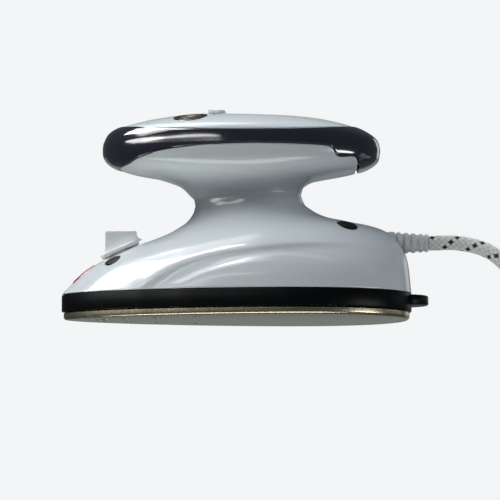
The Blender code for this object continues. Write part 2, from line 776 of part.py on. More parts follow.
def front_pocket(inset, low, high, rear):
    """Rows of the nose's outline cut straight across at a rear station."""
    rows = []
    for height in (low, high):
        front, _, half, middle, powers = section_at(HOUSING_LOW, inset)
        last = math.acos(((middle - rear) / (middle - front)) ** (powers[0] / 2))
        turns = [last * (2 * i / ROUND - 1) for i in range(ROUND + 1)]
        rows.append([outline_point(HOUSING_LOW, turn, inset) for turn in turns])
        for point in rows[-1]:
            point.z = height
    return rows


def tube(name, points, diameter, finish_name, resolution=2):
    """A round bar along a line of points."""
    data = bpy.data.curves.new(name, "CURVE")
    data.dimensions = "3D"
    data.bevel_depth = diameter / 2
    data.bevel_resolution = resolution
    data.use_fill_caps = True
    line = data.splines.new("POLY")
    line.points.add(len(points) - 1)
    for slot, point in zip(line.points, points):
        slot.co = (*point, 1.0)
    line.use_smooth = True
    made = bpy.data.objects.new(name, data)
    bpy.context.scene.collection.objects.link(made)
    data.materials.append(finish(finish_name))
    return made


def smooth_route(points, step):
    """Points at even steps along a smooth curve through the route's points."""
    ends = [2 * points[0] - points[1], *points, 2 * points[-1] - points[-2]]
    fine = []
    for before, start, end, after in zip(ends, ends[1:], ends[2:], ends[3:]):
        for i in range(24):
            t = i / 24
            fine.append(0.5 * (
                2 * start + (end - before) * t + (2 * before - 5 * start + 4 * end - after) * t ** 2
                + (3 * start - before - 3 * end + after) * t ** 3
            ))
    fine.append(points[-1])
    total = sum((b - a).length for a, b in zip(fine, fine[1:]))
    count = max(2, round(total / step))
    picked, gone, wanted = [fine[0]], 0.0, total / count
    for a, b in zip(fine, fine[1:]):
        length = (b - a).length
        while gone + length >= wanted and len(picked) < count:
            picked.append(a.lerp(b, (wanted - gone) / length))
            wanted += total / count
        gone += length
    return picked + [fine[-1]], total


def make_soleplate():
    levels = (
        (SOLE_INSET + SOLE_EDGE, 0.0),
        (SOLE_INSET + SOLE_EDGE / 3, SOLE_EDGE / 3),
        (SOLE_INSET, SOLE_EDGE),
        (SOLE_INSET, SOLE_THICKNESS),
    )
    sole = inset_loft("soleplate", levels, "steel", read_at=HOUSING_LOW)
    return cut(sole, steam_holes(-OVERRUN, SOLE_THICKNESS + OVERRUN))


def steam_holes(low, high):
    """Upright drills in a bow round the nose."""
    parts = []
    for i in range(STEAM_HOLE_COUNT):
        turn = STEAM_HOLE_SWEEP * (i / (STEAM_HOLE_COUNT - 1) - 0.5)
        place = outline_point(HOUSING_LOW, turn, STEAM_HOLE_INSET)
        parts.append(drill(STEAM_HOLE, low, high, HOLE_SIDES, place.x, place.y))
    return parts


def make_base_skirt():
    """The heat-proof ring with its heel lug."""
    def build(shape):
        levels = ((0.0, SKIRT_LOW), (0.0, SKIRT_TOP), (SKIRT_WALL, SKIRT_TOP), (SKIRT_WALL, SKIRT_LOW))
        rings = []
        for inset, height in levels:
            front, rear, half, middle, powers = section_at(HOUSING_LOW, inset)
            rings.append([shape.verts.new(p) for p in flat_outline(HOUSING_LOW, inset, height)])
        for lower, upper in zip(rings, rings[1:] + rings[:1]):
            for i in range(ROUND):
                j = (i + 1) % ROUND
                shape.faces.new((lower[i], lower[j], upper[j], upper[i]))
    skirt = object_of("base_skirt", mesh_from("base_skirt", build), "black")
    top = SKIRT_TOP - HEEL_DROP
    radius = HEEL_WIDTH / 2
    centre = along(BASE_LENGTH + HEEL_REACH) - radius
    lug = []
    for height in (top - HEEL_THICKNESS, top):
        arc = [math.pi * (i / CAP_SIDES - 0.5) for i in range(CAP_SIDES + 1)]
        row = [Vector((centre + radius * math.cos(t), radius * math.sin(t), height)) for t in arc]
        inner = along(BASE_LENGTH - SKIRT_WALL / 2)
        lug.append([p for p in row if p.x > inner])
        lug[-1].append(Vector((inner, lug[-1][-1].y, height)))
        lug[-1].insert(0, Vector((inner, lug[-1][0].y, height)))
    return join(skirt, [lug])


def make_heating_block():
    casting = inset_loft(
        "heating_block", ((BLOCK_INSET, BLOCK_LOW), (BLOCK_INSET, BLOCK_TOP)), "aluminium",
        read_at=HOUSING_LOW,
    )
    chamber = front_pocket(CHAMBER_INSET, BLOCK_TOP - CHAMBER_DEPTH, BLOCK_TOP + OVERRUN, CHAMBER_REAR)
    return cut(casting, [chamber, *element_groove(), *steam_holes(0.0, BLOCK_TOP - CHAMBER_DEPTH / 2)])


def element_line(height):
    """The U of the heating element: round the chamber, then straight to its two terminals."""
    count = ROUND // 2
    last = math.radians(118)
    turns = [last * (2 * i / count - 1) for i in range(count + 1)]
    return [flat_point(outline_point(HOUSING_LOW, turn, ELEMENT_INSET), height) for turn in turns]


def flat_point(point, height):
    return Vector((point.x, point.y, height))


def element_groove():
    """A square-cornered channel round the chamber, open at the top, that the element lies in."""
    line = element_line(BLOCK_TOP)
    half = ELEMENT_DIAMETER / 2 + FIT
    low, high = BLOCK_TOP - ELEMENT_DIAMETER - 2 * FIT, BLOCK_TOP + OVERRUN
    outer, inner = [], []
    for i, point in enumerate(line):
        before, after = line[max(0, i - 1)], line[min(len(line) - 1, i + 1)]
        ahead = (after - before).normalized()
        across = Vector((ahead.y, -ahead.x, 0.0)) * half
        reach_past = -ahead * OVERRUN if i == 0 else ahead * OVERRUN if i == len(line) - 1 else Vector()
        outer.append(point + across + reach_past)
        inner.append(point - across + reach_past)
    loop = outer + inner[::-1]
    return [[[flat_point(p, height) for p in loop] for height in (low, high)]]


def make_heating_element():
    line = element_line(BLOCK_TOP - FIT - ELEMENT_DIAMETER / 2)
    return tube("heating_element", line, ELEMENT_DIAMETER, "steel")


def make_chamber_gasket():
    """A flat seal round the chamber's mouth, inside the element."""
    low, high = GASKET_LOW, GASKET_LOW + GASKET_THICKNESS
    gasket = loft("chamber_gasket", front_pocket(CHAMBER_INSET - GASKET_MARGIN * 2, low, high,
                                                 CHAMBER_REAR + GASKET_MARGIN * 4), "rubber")
    inset = CHAMBER_INSET + GASKET_MARGIN
    mouth = front_pocket(inset, low - OVERRUN, high + OVERRUN, CHAMBER_REAR - GASKET_MARGIN)
    return cut(gasket, [mouth])


def make_chamber_cover():
    levels = ((COVER_INSET, COVER_LOW), (COVER_INSET, COVER_TOP))
    cover = inset_loft("chamber_cover", levels, "steel", read_at=HOUSING_LOW)
    feed = drill(VALVE_DIAMETER / 2, COVER_LOW - OVERRUN, COVER_TOP + OVERRUN, HOLE_SIDES,
                 along(VALVE_FROM_TIP), -VALVE_SIDE)
    return cut(cover, [feed])


def make_heat_shield():
    """A thin plate on four pillars over the chamber's cover."""
    levels = ((SHIELD_INSET, SHIELD_LOW), (SHIELD_INSET, SHIELD_TOP))
    plate = inset_loft("heat_shield", levels, "steel", read_at=SHIELD_TOP)
    pillars = []
    for length_share, side_share in PILLAR_SHARES:
        pillars.append(drill(PILLAR_DIAMETER, COVER_TOP + FIT, (SHIELD_LOW + SHIELD_TOP) / 2, HOLE_SIDES,
                             along(BASE_LENGTH * length_share), BASE_WIDTH / 2 * side_share))
    join(plate, pillars)
    clear = [laid_rows(drill(BOSS_DIAMETER + 4 * FIT, -WALL - BOSS_LENGTH, 0.0, HOLE_SIDES), point, axis)
             for point, axis, _ in cap_places()]
    spindle = drill(SPINDLE_DIAMETER + 4 * FIT, SHIELD_LOW - OVERRUN, SHIELD_TOP + OVERRUN, HOLE_SIDES,
                    along(LEVER_FROM_TIP))
    valve = drill(VALVE_DIAMETER + 2 * FIT, SHIELD_LOW - OVERRUN, SHIELD_TOP + OVERRUN, HOLE_SIDES,
                  along(VALVE_FROM_TIP), -VALVE_SIDE)
    return cut(plate, [spindle, valve, *clear])


def make_thermostat():
    low = COVER_TOP + FIT
    profile = (
        (THERMOSTAT_DIAMETER / 2, low),
        (THERMOSTAT_DIAMETER / 2, low + THERMOSTAT_HEIGHT),
        (SPINDLE_DIAMETER / 2, low + THERMOSTAT_HEIGHT),
        (SPINDLE_DIAMETER / 2, low + THERMOSTAT_HEIGHT + SPINDLE_HEIGHT),
    )
    return turned("thermostat", profile, "brass", x=along(LEVER_FROM_TIP))


def make_thermal_fuse():
    radius = FUSE_DIAMETER / 2
    profile = ((radius, -FUSE_LENGTH / 2), (radius, FUSE_LENGTH / 2))
    fuse = turned("thermal_fuse", profile, "brass", HOLE_SIDES)
    return lay(fuse, Vector((along(FUSE_FROM_TIP), FUSE_SIDE, COVER_TOP + FIT + radius)), Vector((1, 0, 0)))


def make_drip_valve():
    radius = VALVE_DIAMETER / 2
    low = COVER_TOP + FIT
    profile = ((radius, low), (radius, low + VALVE_HEIGHT - radius), (radius / 2, low + VALVE_HEIGHT))
    return turned("drip_valve", profile, "brass", HOLE_SIDES, along(VALVE_FROM_TIP), -VALVE_SIDE)


def tank_rows(wall, low, top):
    """Level outlines of the tank: the nose's own form, drawn in and cut straight across at the rear."""
    rows = []
    levels = 6
    rear = TANK_REAR - wall
    for k in range(levels + 1):
        height = low + (top - low) * k / levels
        read = height + TANK_ROOF_GAP + wall
        inset = TANK_SIDE_GAP + wall
        front, _, _, middle, powers = section_at(read, inset, 1.0)
        last = math.acos(((middle - rear) / (middle - front)) ** (powers[0] / 2))
        turns = [last * (2 * i / (ROUND // 2) - 1) for i in range(ROUND // 2 + 1)]
        rows.append([flat_point(outline_point(read, turn, inset, 1.0), height) for turn in turns])
    return rows


def filler_place():
    """Point and outward direction of the filler in the nose."""
    return ridge_point(FILLER_FROM_TIP), Vector((-math.sin(FILLER_SLOPE), 0.0, math.cos(FILLER_SLOPE)))


def make_water_tank():
    tank = loft("water_tank", tank_rows(0.0, SHIELD_TOP + FIT, TANK_TOP), "clear")
    point, axis = filler_place()
    neck_top = -(WALL + FIT)
    neck = drill(FILLER_BORE + 2 * NECK_TUBE_WALL, neck_top - NECK_TUBE_LENGTH, neck_top, CAP_SIDES)
    bore = drill(FILLER_BORE + 2 * FIT, -NECK_BORE_DEPTH, OVERRUN, CAP_SIDES)
    join(tank, [laid_rows(neck, point, axis)])
    hollow = tank_rows(TANK_WALL, SHIELD_TOP + FIT + TANK_WALL, TANK_TOP - TANK_WALL)
    combine(tank, cutter_of("tank_hollow", [hollow]), "DIFFERENCE")
    floor = SHIELD_TOP + FIT + TANK_WALL
    start = point.x + NECK_BORE_DEPTH * math.sin(FILLER_SLOPE)
    channel = box_rows((start, -CHANNEL_WIDTH / 2, floor),
                       (start + CHANNEL_LENGTH, CHANNEL_WIDTH / 2, floor + CHANNEL_HEIGHT))
    combine(tank, cutter_of("tank_channel", [channel]), "DIFFERENCE")
    return cut(tank, [laid_rows(bore, point, axis)])


def make_filler_grommet():
    point, axis = filler_place()
    inner, outer = FILLER_BORE / 2, FILLER_BORE / 2 + GROMMET_WALL
    grommet = ring("filler_grommet", ((inner, -WALL), (outer, -WALL), (outer, 0.0), (inner, 0.0)), "rubber")
    return lay(grommet, point, axis)


def racetrack(length, width, height, count=CAP_SIDES):
    """An oval outline with straight sides."""
    radius = width / 2
    reach_out = length / 2 - radius
    points = []
    for i in range(count):
        turn = 2 * math.pi * (i + 0.5) / count
        shift = reach_out if math.cos(turn) > 0 else -reach_out
        points.append(Vector((shift + radius * math.cos(turn), radius * math.sin(turn), height)))
    return points


def make_filler_stopper():
    """The silicone stopper: oval flange, stem down the filler, and the upright pull fin."""
    point, axis = filler_place()
    low, high = FIT, FIT + STOPPER_THICKNESS
    edge = STOPPER_THICKNESS / 3
    place = Matrix.Translation(point) @ Matrix.Rotation(-FILLER_SLOPE, 4, "Y")
    flange = [
        racetrack(STOPPER_LENGTH - edge, STOPPER_WIDTH - edge, low),
        racetrack(STOPPER_LENGTH, STOPPER_WIDTH, low + edge),
        racetrack(STOPPER_LENGTH, STOPPER_WIDTH, high - edge),
        racetrack(STOPPER_LENGTH - edge, STOPPER_WIDTH - edge, high),
    ]
    stopper = loft("filler_stopper", [[place @ p for p in row] for row in flange], "milky")
    stem = drill(STOPPER_STEM, low - STOPPER_STEM_LENGTH, low + edge, CAP_SIDES)
    join(stopper, [laid_rows(stem, point, axis)])
    front = along(FIN_FROM_TIP)
    rear = front + FIN_LENGTH
    top = point.z + FIN_HEIGHT
    foot_front = point + place.to_3x3() @ Vector((0.0, 0.0, high - edge))
    slope = math.tan(FILLER_SLOPE)
    profile = (
        (front, foot_front.z + (front - foot_front.x) * slope),
        (rear + FIN_CORNER, foot_front.z + (rear + FIN_CORNER - foot_front.x) * slope),
        (rear, foot_front.z + (rear + FIN_CORNER * 2 - foot_front.x) * slope + edge),
        (rear, top - FIN_CORNER),
        (rear - FIN_CORNER / 3, top - FIN_CORNER / 3),
        (rear - FIN_CORNER, top),
        (front + FIN_CORNER, top),
        (front + FIN_CORNER / 3, top - FIN_CORNER / 3),
        (front, top - FIN_CORNER),
    )
    rows = [[Vector((x, side * FIN_THICKNESS / 2, z)) for x, z in profile] for side in (-1, 1)]
    return combine(stopper, cutter_of("stopper_fin", [rows]), "UNION")


def make_body_housing():
    """The white shell: nose, shoulders, neck and the underside of the handle, up to the band."""
    shoulder = NECK_FRONT_HEIGHT - HOUSING_LOW
    heights = [HOUSING_LOW + shoulder * k / (BODY_ROWS - 1) for k in range(BODY_ROWS)]
    rows = [outline(height) for height in heights]
    for k in range(1, FLARE_ROWS + 1):
        row = []
        for i in range(ROUND):
            turn = 2 * math.pi * i / ROUND
            end = band_low(turn) - FIT
            rise = (k / FLARE_ROWS) ** 0.85
            row.append(outline_point(NECK_FRONT_HEIGHT + (end - NECK_FRONT_HEIGHT) * rise, turn))
        rows.append(row)
    turns = [2 * math.pi * i / ROUND for i in range(ROUND)]
    edge = [form_axis(band_low(turn), turn) for turn in turns]
    housing = shell("body_housing", rows, WALL, "white", last_axes=edge)
    bosses = []
    holes = []
    for point, axis, diameter in cap_places():
        boss = drill(BOSS_DIAMETER, -WALL / 2 - BOSS_LENGTH, -WALL / 2, CAP_SIDES)
        bosses.append(laid_rows(boss, point, axis))
        well_floor = -(CAP_DEPTH + SCREW_HEAD_HEIGHT + 3 * FIT)
        profile = (
            (SCREW_SHANK / 2 + FIT, -WALL - BOSS_LENGTH - OVERRUN),
            (SCREW_SHANK / 2 + FIT, well_floor),
            (SCREW_HEAD / 2 + FIT, well_floor),
            (SCREW_HEAD / 2 + FIT, -CAP_DEPTH - FIT),
            (diameter / 2 + FIT, -CAP_DEPTH - FIT),
            (diameter / 2 + FIT, OVERRUN),
        )
        holes.append(laid_rows(turned_rows(profile, CAP_SIDES), point, axis))
    point, axis = filler_place()
    filler = drill(FILLER_BORE + 2 * GROMMET_WALL + 2 * FIT, -2 * WALL, WALL, CAP_SIDES)
    holes.append(laid_rows(filler, point, axis))
    holes.append(lens_rows(FIT, -2 * WALL, 2 * WALL))
    relief = drill(RELIEF_ROOT_DIAMETER + 2 * FIT, 0.0, RELIEF_END - RELIEF_INNER - 2 * WALL, CAP_SIDES)
    start = Vector((along(RELIEF_INNER + 2 * WALL), 0.0, CORD_HEIGHT))
    holes.append(laid_rows(relief, start, Vector((1, 0, 0))))
    join(housing, bosses)
    reach_past = BASE_LENGTH
    below = box_rows((-reach_past, -reach_past, 0.0), (reach_past, reach_past, HOUSING_LOW))
    combine(housing, cutter_of("housing_foot", [below]), "DIFFERENCE")
    return cut(housing, holes)


def cap_places():
    """Point, outward direction and diameter of the four round caps."""
    places = []
    for side in (-1, 1):
        for from_tip, height, diameter in (
            (CAP_FRONT_FROM_TIP, CAP_FRONT_HEIGHT, CAP_FRONT_DIAMETER),
            (CAP_REAR_FROM_TIP, CAP_REAR_HEIGHT, CAP_REAR_DIAMETER),
        ):
            places.append((side_point(from_tip, height, side), side_axis(from_tip, height, side), diameter))
    return places


def make_screw_caps():
    names = ("front_left", "rear_left", "front_right", "rear_right")
    for name, (point, axis, diameter) in zip(names, cap_places()):
        radius = diameter / 2
        profile = (
            (radius, -CAP_DEPTH), (radius, 0.0), (radius * 0.9, CAP_PROUD), (radius * 0.4, CAP_PROUD * 2),
        )
        lay(turned("screw_cap_" + name, profile, "black"), point, axis)
        head_top = -(CAP_DEPTH + FIT)
        head_low = head_top - SCREW_HEAD_HEIGHT
        screw = (
            (SCREW_SHANK / 2, head_low - SCREW_LENGTH),
            (SCREW_SHANK / 2, head_low),
            (SCREW_HEAD / 2, head_low),
            (SCREW_HEAD / 2, head_top - SCREW_HEAD_HEIGHT / 3),
            (SCREW_HEAD / 3, head_top),
        )
        lay(turned("body_screw_" + name, screw, "steel", HOLE_SIDES), point, axis)


def lens_rows(margin, low, high):
    """Rows of the pilot lens's oval bar, square to the nose."""
    point, axis = ridge_point(LENS_FROM_TIP), ridge_axis(LENS_FROM_TIP)
    long_half, wide_half = LENS_LENGTH / 2 + margin, LENS_WIDTH / 2 + margin
    uphill = Vector((axis.z, 0.0, -axis.x))
    rows = []
    for depth in (low, high):
        row = []
        for i in range(BUTTON_SIDES):
            turn = 2 * math.pi * i / BUTTON_SIDES
            row.append(point + axis * depth + uphill * (long_half * math.cos(turn))
                       + Vector((0, 1, 0)) * (wide_half * math.sin(turn)))
        rows.append(row)
    return rows


def make_pilot_lens():
    rise = (NECK_FRONT_HEIGHT - HOUSING_LOW) / 2
    heights = [HOUSING_LOW + rise * k / (BODY_ROWS - 1) for k in range(BODY_ROWS)]
    count = BODY_ROWS * 2
    rows = []
    for height in heights:
        turns = [math.pi / 3 * (2 * i / count - 1) for i in range(count + 1)]
        rows.append([outline_point(height, turn) for turn in turns])
    made = object_of("pilot_lens", mesh_from("pilot_lens", lambda s: add_rows(
        s, rows, closed=False, low_cap=False, top_cap=False), tidy=False), "red")
    thicken(made, WALL, LENS_PROUD)
    return combine(made, cutter_of("pilot_lens_bar", [lens_rows(0.0, -3 * WALL, 3 * WALL)]), "INTERSECT")


def make_pilot_lamp():
    point, axis = ridge_point(LENS_FROM_TIP), ridge_axis(LENS_FROM_TIP)
    top = -(WALL + FIT)
    profile = ((LAMP_DIAMETER / 2, top - LAMP_LENGTH), (LAMP_DIAMETER / 2, top - LAMP_LENGTH / 3),
               (LAMP_DIAMETER / 3, top))
    return lay(turned("pilot_lamp", profile, "clear", HOLE_SIDES), point, axis)


def make_handle_band():
    rows = []
    for k in range(BAND_ROWS + 1):
        row = []
        for i in range(ROUND):
            turn = 2 * math.pi * i / ROUND
            low, top = band_low(turn), band_top(turn)
            row.append(outline_point(low + (top - low) * k / BAND_ROWS, turn))
        rows.append(row)
    turns = [2 * math.pi * i / ROUND for i in range(ROUND)]
    low_edge = [form_axis(band_low(turn), turn) for turn in turns]
    top_edge = [form_axis(band_top(turn), turn) for turn in turns]
    return shell("handle_band", rows, BAND_WALL, "band", low_edge, top_edge, proud=BAND_PROUD)


def dish_point(turn, share):
    """A point of the dish: share 1 is its rim, 0 its middle."""
    x = along(DISH_FROM_TIP) - DISH_LENGTH / 2 * share * math.cos(turn)
    y = -DISH_WIDTH / 2 * share * math.sin(turn)
    return Vector((x, y, surface_height(x, y) - DISH_DEPTH * (1 - share ** DISH_POWER)))


def cover_rows():
    """Rows from the band's upper edge over the crown to the dish's rim, and down into the dish."""
    turns = [2 * math.pi * i / ROUND for i in range(ROUND)]
    rim = [outline_point(band_top(turn) + FIT, turn) for turn in turns]
    lip = [dish_point(turn, 1.0) for turn in turns]
    rows = [rim]
    for k in range(1, COVER_RIM_ROWS):
        share = (k / COVER_RIM_ROWS) ** 1.25
        row = []
        for edge, inner in zip(rim, lip):
            flat = edge.lerp(inner, share)
            row.append(Vector((flat.x, flat.y, surface_height(flat.x, flat.y))))
        rows.append(row)
    rows.append(lip)
    for k in range(1, DISH_ROWS):
        rows.append([dish_point(turn, 1 - 0.72 * (k / (DISH_ROWS - 1)) ** 1.4) for turn in turns])
    return rows


def make_handle_cover():
    """The crowned top with the dish for the lever and the openings for the buttons."""
    turns = [2 * math.pi * i / ROUND for i in range(ROUND)]
    rim = [form_axis(band_top(turn), turn) for turn in turns]
    cover = shell("handle_cover", cover_rows(), WALL, "white", first_axes=rim, middle=dish_point(0.0, 0.0))
    low, high = BAND_TOP_SIDE, CROWN_HEIGHT + OVERRUN
    holes = [button_bar(FIT, low, high)]
    for side in (-1, 1):
        x, y = along(SETTING_FROM_TIP), side * SETTING_SIDE
        holes.append(drill(SETTING_RING + 2 * FIT, low, high, CAP_SIDES, x, y))
    holes.append(drill(SHAFT_DIAMETER + 4 * FIT, low, high, HOLE_SIDES, along(LEVER_FROM_TIP)))
    return cut(cover, holes)


def button_bar(margin, low, high):
    radius = BUTTON_LENGTH / 2 + margin
    wide = (BUTTON_WIDTH / 2 + margin) / radius
    return drill(2 * radius, low, high, BUTTON_SIDES, along(BUTTON_FROM_TIP), 0.0, wide)


def top_patch_rows(x, y, reach_x, reach_y, count=12):
    """A grid of the handle's top round a place."""
    rows = []
    for j in range(count + 1):
        across = y + reach_y * (2 * j / count - 1)
        row = []
        for i in range(count + 1):
            ahead = x + reach_x * (2 * i / count - 1)
            row.append(Vector((ahead, across, surface_height(ahead, across))))
        rows.append(row)
    return rows


def top_piece(name, x, y, reach_x, reach_y, thickness, proud, finish_name, bar):
    """A piece of the handle's top skin inside an upright bar."""
    rows = top_patch_rows(x, y, reach_x, reach_y)
    made = object_of(name, mesh_from(name, lambda s: add_rows(
        s, rows, closed=False, low_cap=False, top_cap=False), tidy=False), finish_name)
    thicken(made, thickness, proud)
    return combine(made, cutter_of(name + "_bar", [bar]), "INTERSECT")


def make_steam_button():
    bar = button_bar(0.0, BAND_TOP_SIDE - OVERRUN, CROWN_HEIGHT + 2 * OVERRUN)
    return top_piece("steam_button", along(BUTTON_FROM_TIP), 0.0, BUTTON_LENGTH * 0.56, BUTTON_WIDTH * 0.56,
                     BUTTON_DEPTH + BUTTON_PROUD, BUTTON_PROUD, "black", bar)


def pump_low():
    """Height of the pump's underside, just above the handle's lower wall in front of it."""
    front = BUTTON_FROM_TIP - PUMP_DIAMETER / 2
    low, high = NECK_FRONT_HEIGHT, HANDLE_HEIGHT
    for _ in range(24):
        middle_height = (low + high) / 2
        if section_at(middle_height)[0] > front:
            low = middle_height
        else:
            high = middle_height
    return low + WALL + PUMP_FLOOR_GAP


def pump_top():
    return BOARD_TOP + PUMP_FLANGE_THICKNESS + PUMP_TOP_RISE


def button_under():
    """Height just under the middle of the steam button."""
    return surface_height(along(BUTTON_FROM_TIP), 0.0) - BUTTON_DEPTH - SPRING_ROOM


def make_pump():
    x = along(BUTTON_FROM_TIP)
    outer, bore, flange = PUMP_DIAMETER / 2, PUMP_BORE / 2, PUMP_FLANGE / 2
    seat = BOARD_TOP + FIT
    floor = pump_low() + PUMP_FLOOR
    profile = (
        (outer * 0.6, pump_low()), (outer, pump_low() + PUMP_FLOOR / 2), (outer, seat), (flange, seat),
        (flange, seat + PUMP_FLANGE_THICKNESS), (outer, seat + PUMP_FLANGE_THICKNESS), (outer, pump_top()),
        (bore, pump_top()), (bore, floor),
    )
    turned("pump_cylinder", profile, "clear", x=x)
    piston = PISTON_DIAMETER / 2
    low = floor + BUTTON_TRAVEL + 2 * FIT
    rod = ROD_DIAMETER / 2
    turned("pump_rod", ((piston, low), (piston, low + PISTON_HEIGHT), (rod, low + PISTON_HEIGHT),
                        (rod, button_under())), "grey", x=x)
    start, end = pump_top() + SPRING_WIRE / 2 + FIT, button_under() - SPRING_WIRE / 2
    radius = SPRING_DIAMETER / 2
    points = []
    total = SPRING_TURNS * SPRING_POINTS_PER_TURN
    for i in range(total + 1):
        turn = 2 * math.pi * i / SPRING_POINTS_PER_TURN
        points.append(Vector((x + radius * math.cos(turn), radius * math.sin(turn),
                              start + (end - start) * i / total)))
    tube("pump_spring", points, SPRING_WIRE, "steel", resolution=1)


def make_settings():
    """The two small round buttons, their smoked rings and the switches under them."""
    x = along(SETTING_FROM_TIP)
    for name, side in (("left", -1), ("right", 1)):
        y = side * SETTING_SIDE
        around = SETTING_RING * 0.56
        ring_bar = drill(SETTING_RING, BAND_TOP_SIDE, CROWN_HEIGHT + OVERRUN, CAP_SIDES, x, y)
        smoked = top_piece("setting_ring_" + name, x, y, around, around, RING_DEPTH + RING_PROUD,
                           RING_PROUD, "olive", ring_bar)
        well = drill(SETTING_CAP + 2 * FIT, BAND_TOP_SIDE, CROWN_HEIGHT + OVERRUN, CAP_SIDES, x, y)
        cut(smoked, [well])
        switch_top = BOARD_TOP + FIT + SWITCH_HEIGHT
        cap_bar = drill(SETTING_CAP, BAND_TOP_SIDE, CROWN_HEIGHT + OVERRUN, CAP_SIDES, x, y)
        cap = top_piece("setting_button_" + name, x, y, around, around, SETTING_CAP_HEIGHT + SETTING_PROUD,
                        SETTING_PROUD, "milky", cap_bar)
        stem_top = surface_height(x, y) - SETTING_CAP_HEIGHT / 2
        join(cap, [drill(SETTING_STEM, switch_top + SETTING_TRAVEL + FIT, stem_top, HOLE_SIDES, x, y)])
        half = SWITCH_SIDE / 2
        corner, far_corner = (x - half, y - half, BOARD_TOP + FIT), (x + half, y + half, switch_top)
        block("setting_switch_" + name, corner, far_corner, "black")


def make_handle_frame():
    levels = ((FRAME_INSET, FRAME_HEIGHT), (FRAME_INSET, FRAME_TOP))
    frame = inset_loft("handle_frame", levels, "grey")
    low, high = FRAME_HEIGHT - OVERRUN, FRAME_TOP + OVERRUN
    pump = drill(PUMP_DIAMETER + 2 * FIT, low, high, CAP_SIDES, along(BUTTON_FROM_TIP))
    shaft = drill(SHAFT_DIAMETER + 2 * FIT, low, high, HOLE_SIDES, along(LEVER_FROM_TIP))
    return cut(frame, [pump, shaft])


def make_circuit_board():
    half = BOARD_WIDTH / 2
    front, rear = along(BOARD_FRONT), along(BOARD_REAR)
    board = block("circuit_board", (front, -half, BOARD_LOW), (rear, half, BOARD_TOP), "board")
    low, high = BOARD_LOW - OVERRUN, BOARD_TOP + OVERRUN
    pump = drill(PUMP_DIAMETER + 2 * FIT, low, high, CAP_SIDES, along(BUTTON_FROM_TIP))
    return cut(board, [pump])


def lever_outline(height, margin=0.0):
    """A teardrop from the round hub back to its narrow tip, with a short blunt nose ahead."""
    hub, tip = LEVER_HUB / 2 + margin, LEVER_TIP / 2 + margin
    lean = math.asin((hub - tip) / LEVER_REACH)
    points = []
    for i in range(13):
        turn = -math.pi / 2 + lean + (math.pi - 2 * lean) * i / 12
        rear = along(LEVER_FROM_TIP) + LEVER_REACH
        points.append(Vector((rear + tip * math.cos(turn), tip * math.sin(turn), height)))
    for i in range(17):
        turn = math.pi / 2 - lean + (math.pi + 2 * lean) * i / 16
        ahead = math.cos(turn)
        stretch = LEVER_NOSE / hub if ahead < 0 else 1.0
        points.append(Vector((along(LEVER_FROM_TIP) + hub * ahead * stretch, hub * math.sin(turn), height)))
    return points


def make_temperature_lever():
    """The teardrop lever, sloped down to its tip, with a raised rib to push."""
    rows = []
    edge = LEVER_RIB_RISE
    for height, margin in ((LEVER_UNDER, 0.0), (LEVER_TOP - edge, 0.0), (LEVER_TOP, -edge)):
        row = lever_outline(height, margin)
        for point in row:
            share = max(0.0, (point.x - along(LEVER_FROM_TIP)) / LEVER_REACH)
            point.z -= LEVER_TAIL_DROP * share ** 2
        rows.append(row)
    lever = loft("temperature_lever", rows, "smoke")
    hinge_x = along(LEVER_FROM_TIP)
    front, rear = hinge_x - LEVER_NOSE * 0.3, hinge_x + LEVER_REACH * 0.95
    half = LEVER_RIB / 2
    rib = [
        [Vector((front, -half, LEVER_UNDER + edge)), Vector((rear, -half, LEVER_UNDER + edge)),
         Vector((rear, half, LEVER_UNDER + edge)), Vector((front, half, LEVER_UNDER + edge))],
        [Vector((front, -half, LEVER_TOP)), Vector((rear, -half, LEVER_TOP - LEVER_TAIL_DROP)),
         Vector((rear, half, LEVER_TOP - LEVER_TAIL_DROP)), Vector((front, half, LEVER_TOP))],
        [Vector((front + edge, -half / 2, LEVER_TOP + edge / 2)),
         Vector((rear - edge, -half / 2, LEVER_TOP + edge / 2 - LEVER_TAIL_DROP)),
         Vector((rear - edge, half / 2, LEVER_TOP + edge / 2 - LEVER_TAIL_DROP)),
         Vector((front + edge, half / 2, LEVER_TOP + edge / 2))],
    ]
    return join(lever, [rib])


def make_lever_tab():
    """The pale raised tab ahead of the hub, which the finger pushes."""
    low = LEVER_TOP + FIT
    top = low + TAB_THICKNESS
    centre = Matrix.Translation(Vector((along(TAB_FRONT) + TAB_LENGTH / 2, 0.0, 0.0)))
    levels = ((TAB_EDGE, low), (0.0, low + TAB_EDGE), (0.0, top - TAB_EDGE), (TAB_EDGE, top))
    rows = [racetrack(TAB_LENGTH - 2 * edge, TAB_WIDTH - 2 * edge, height) for edge, height in levels]
    return loft("lever_tab", [[centre @ p for p in row] for row in rows], "milky")


def make_selector_shaft():
    radius = SHAFT_DIAMETER / 2
    low = COVER_TOP + FIT + THERMOSTAT_HEIGHT + SPINDLE_HEIGHT + FIT
    return turned("selector_shaft", ((radius, low), (radius, LEVER_UNDER - FIT)), "steel", HOLE_SIDES,
                  x=along(LEVER_FROM_TIP))


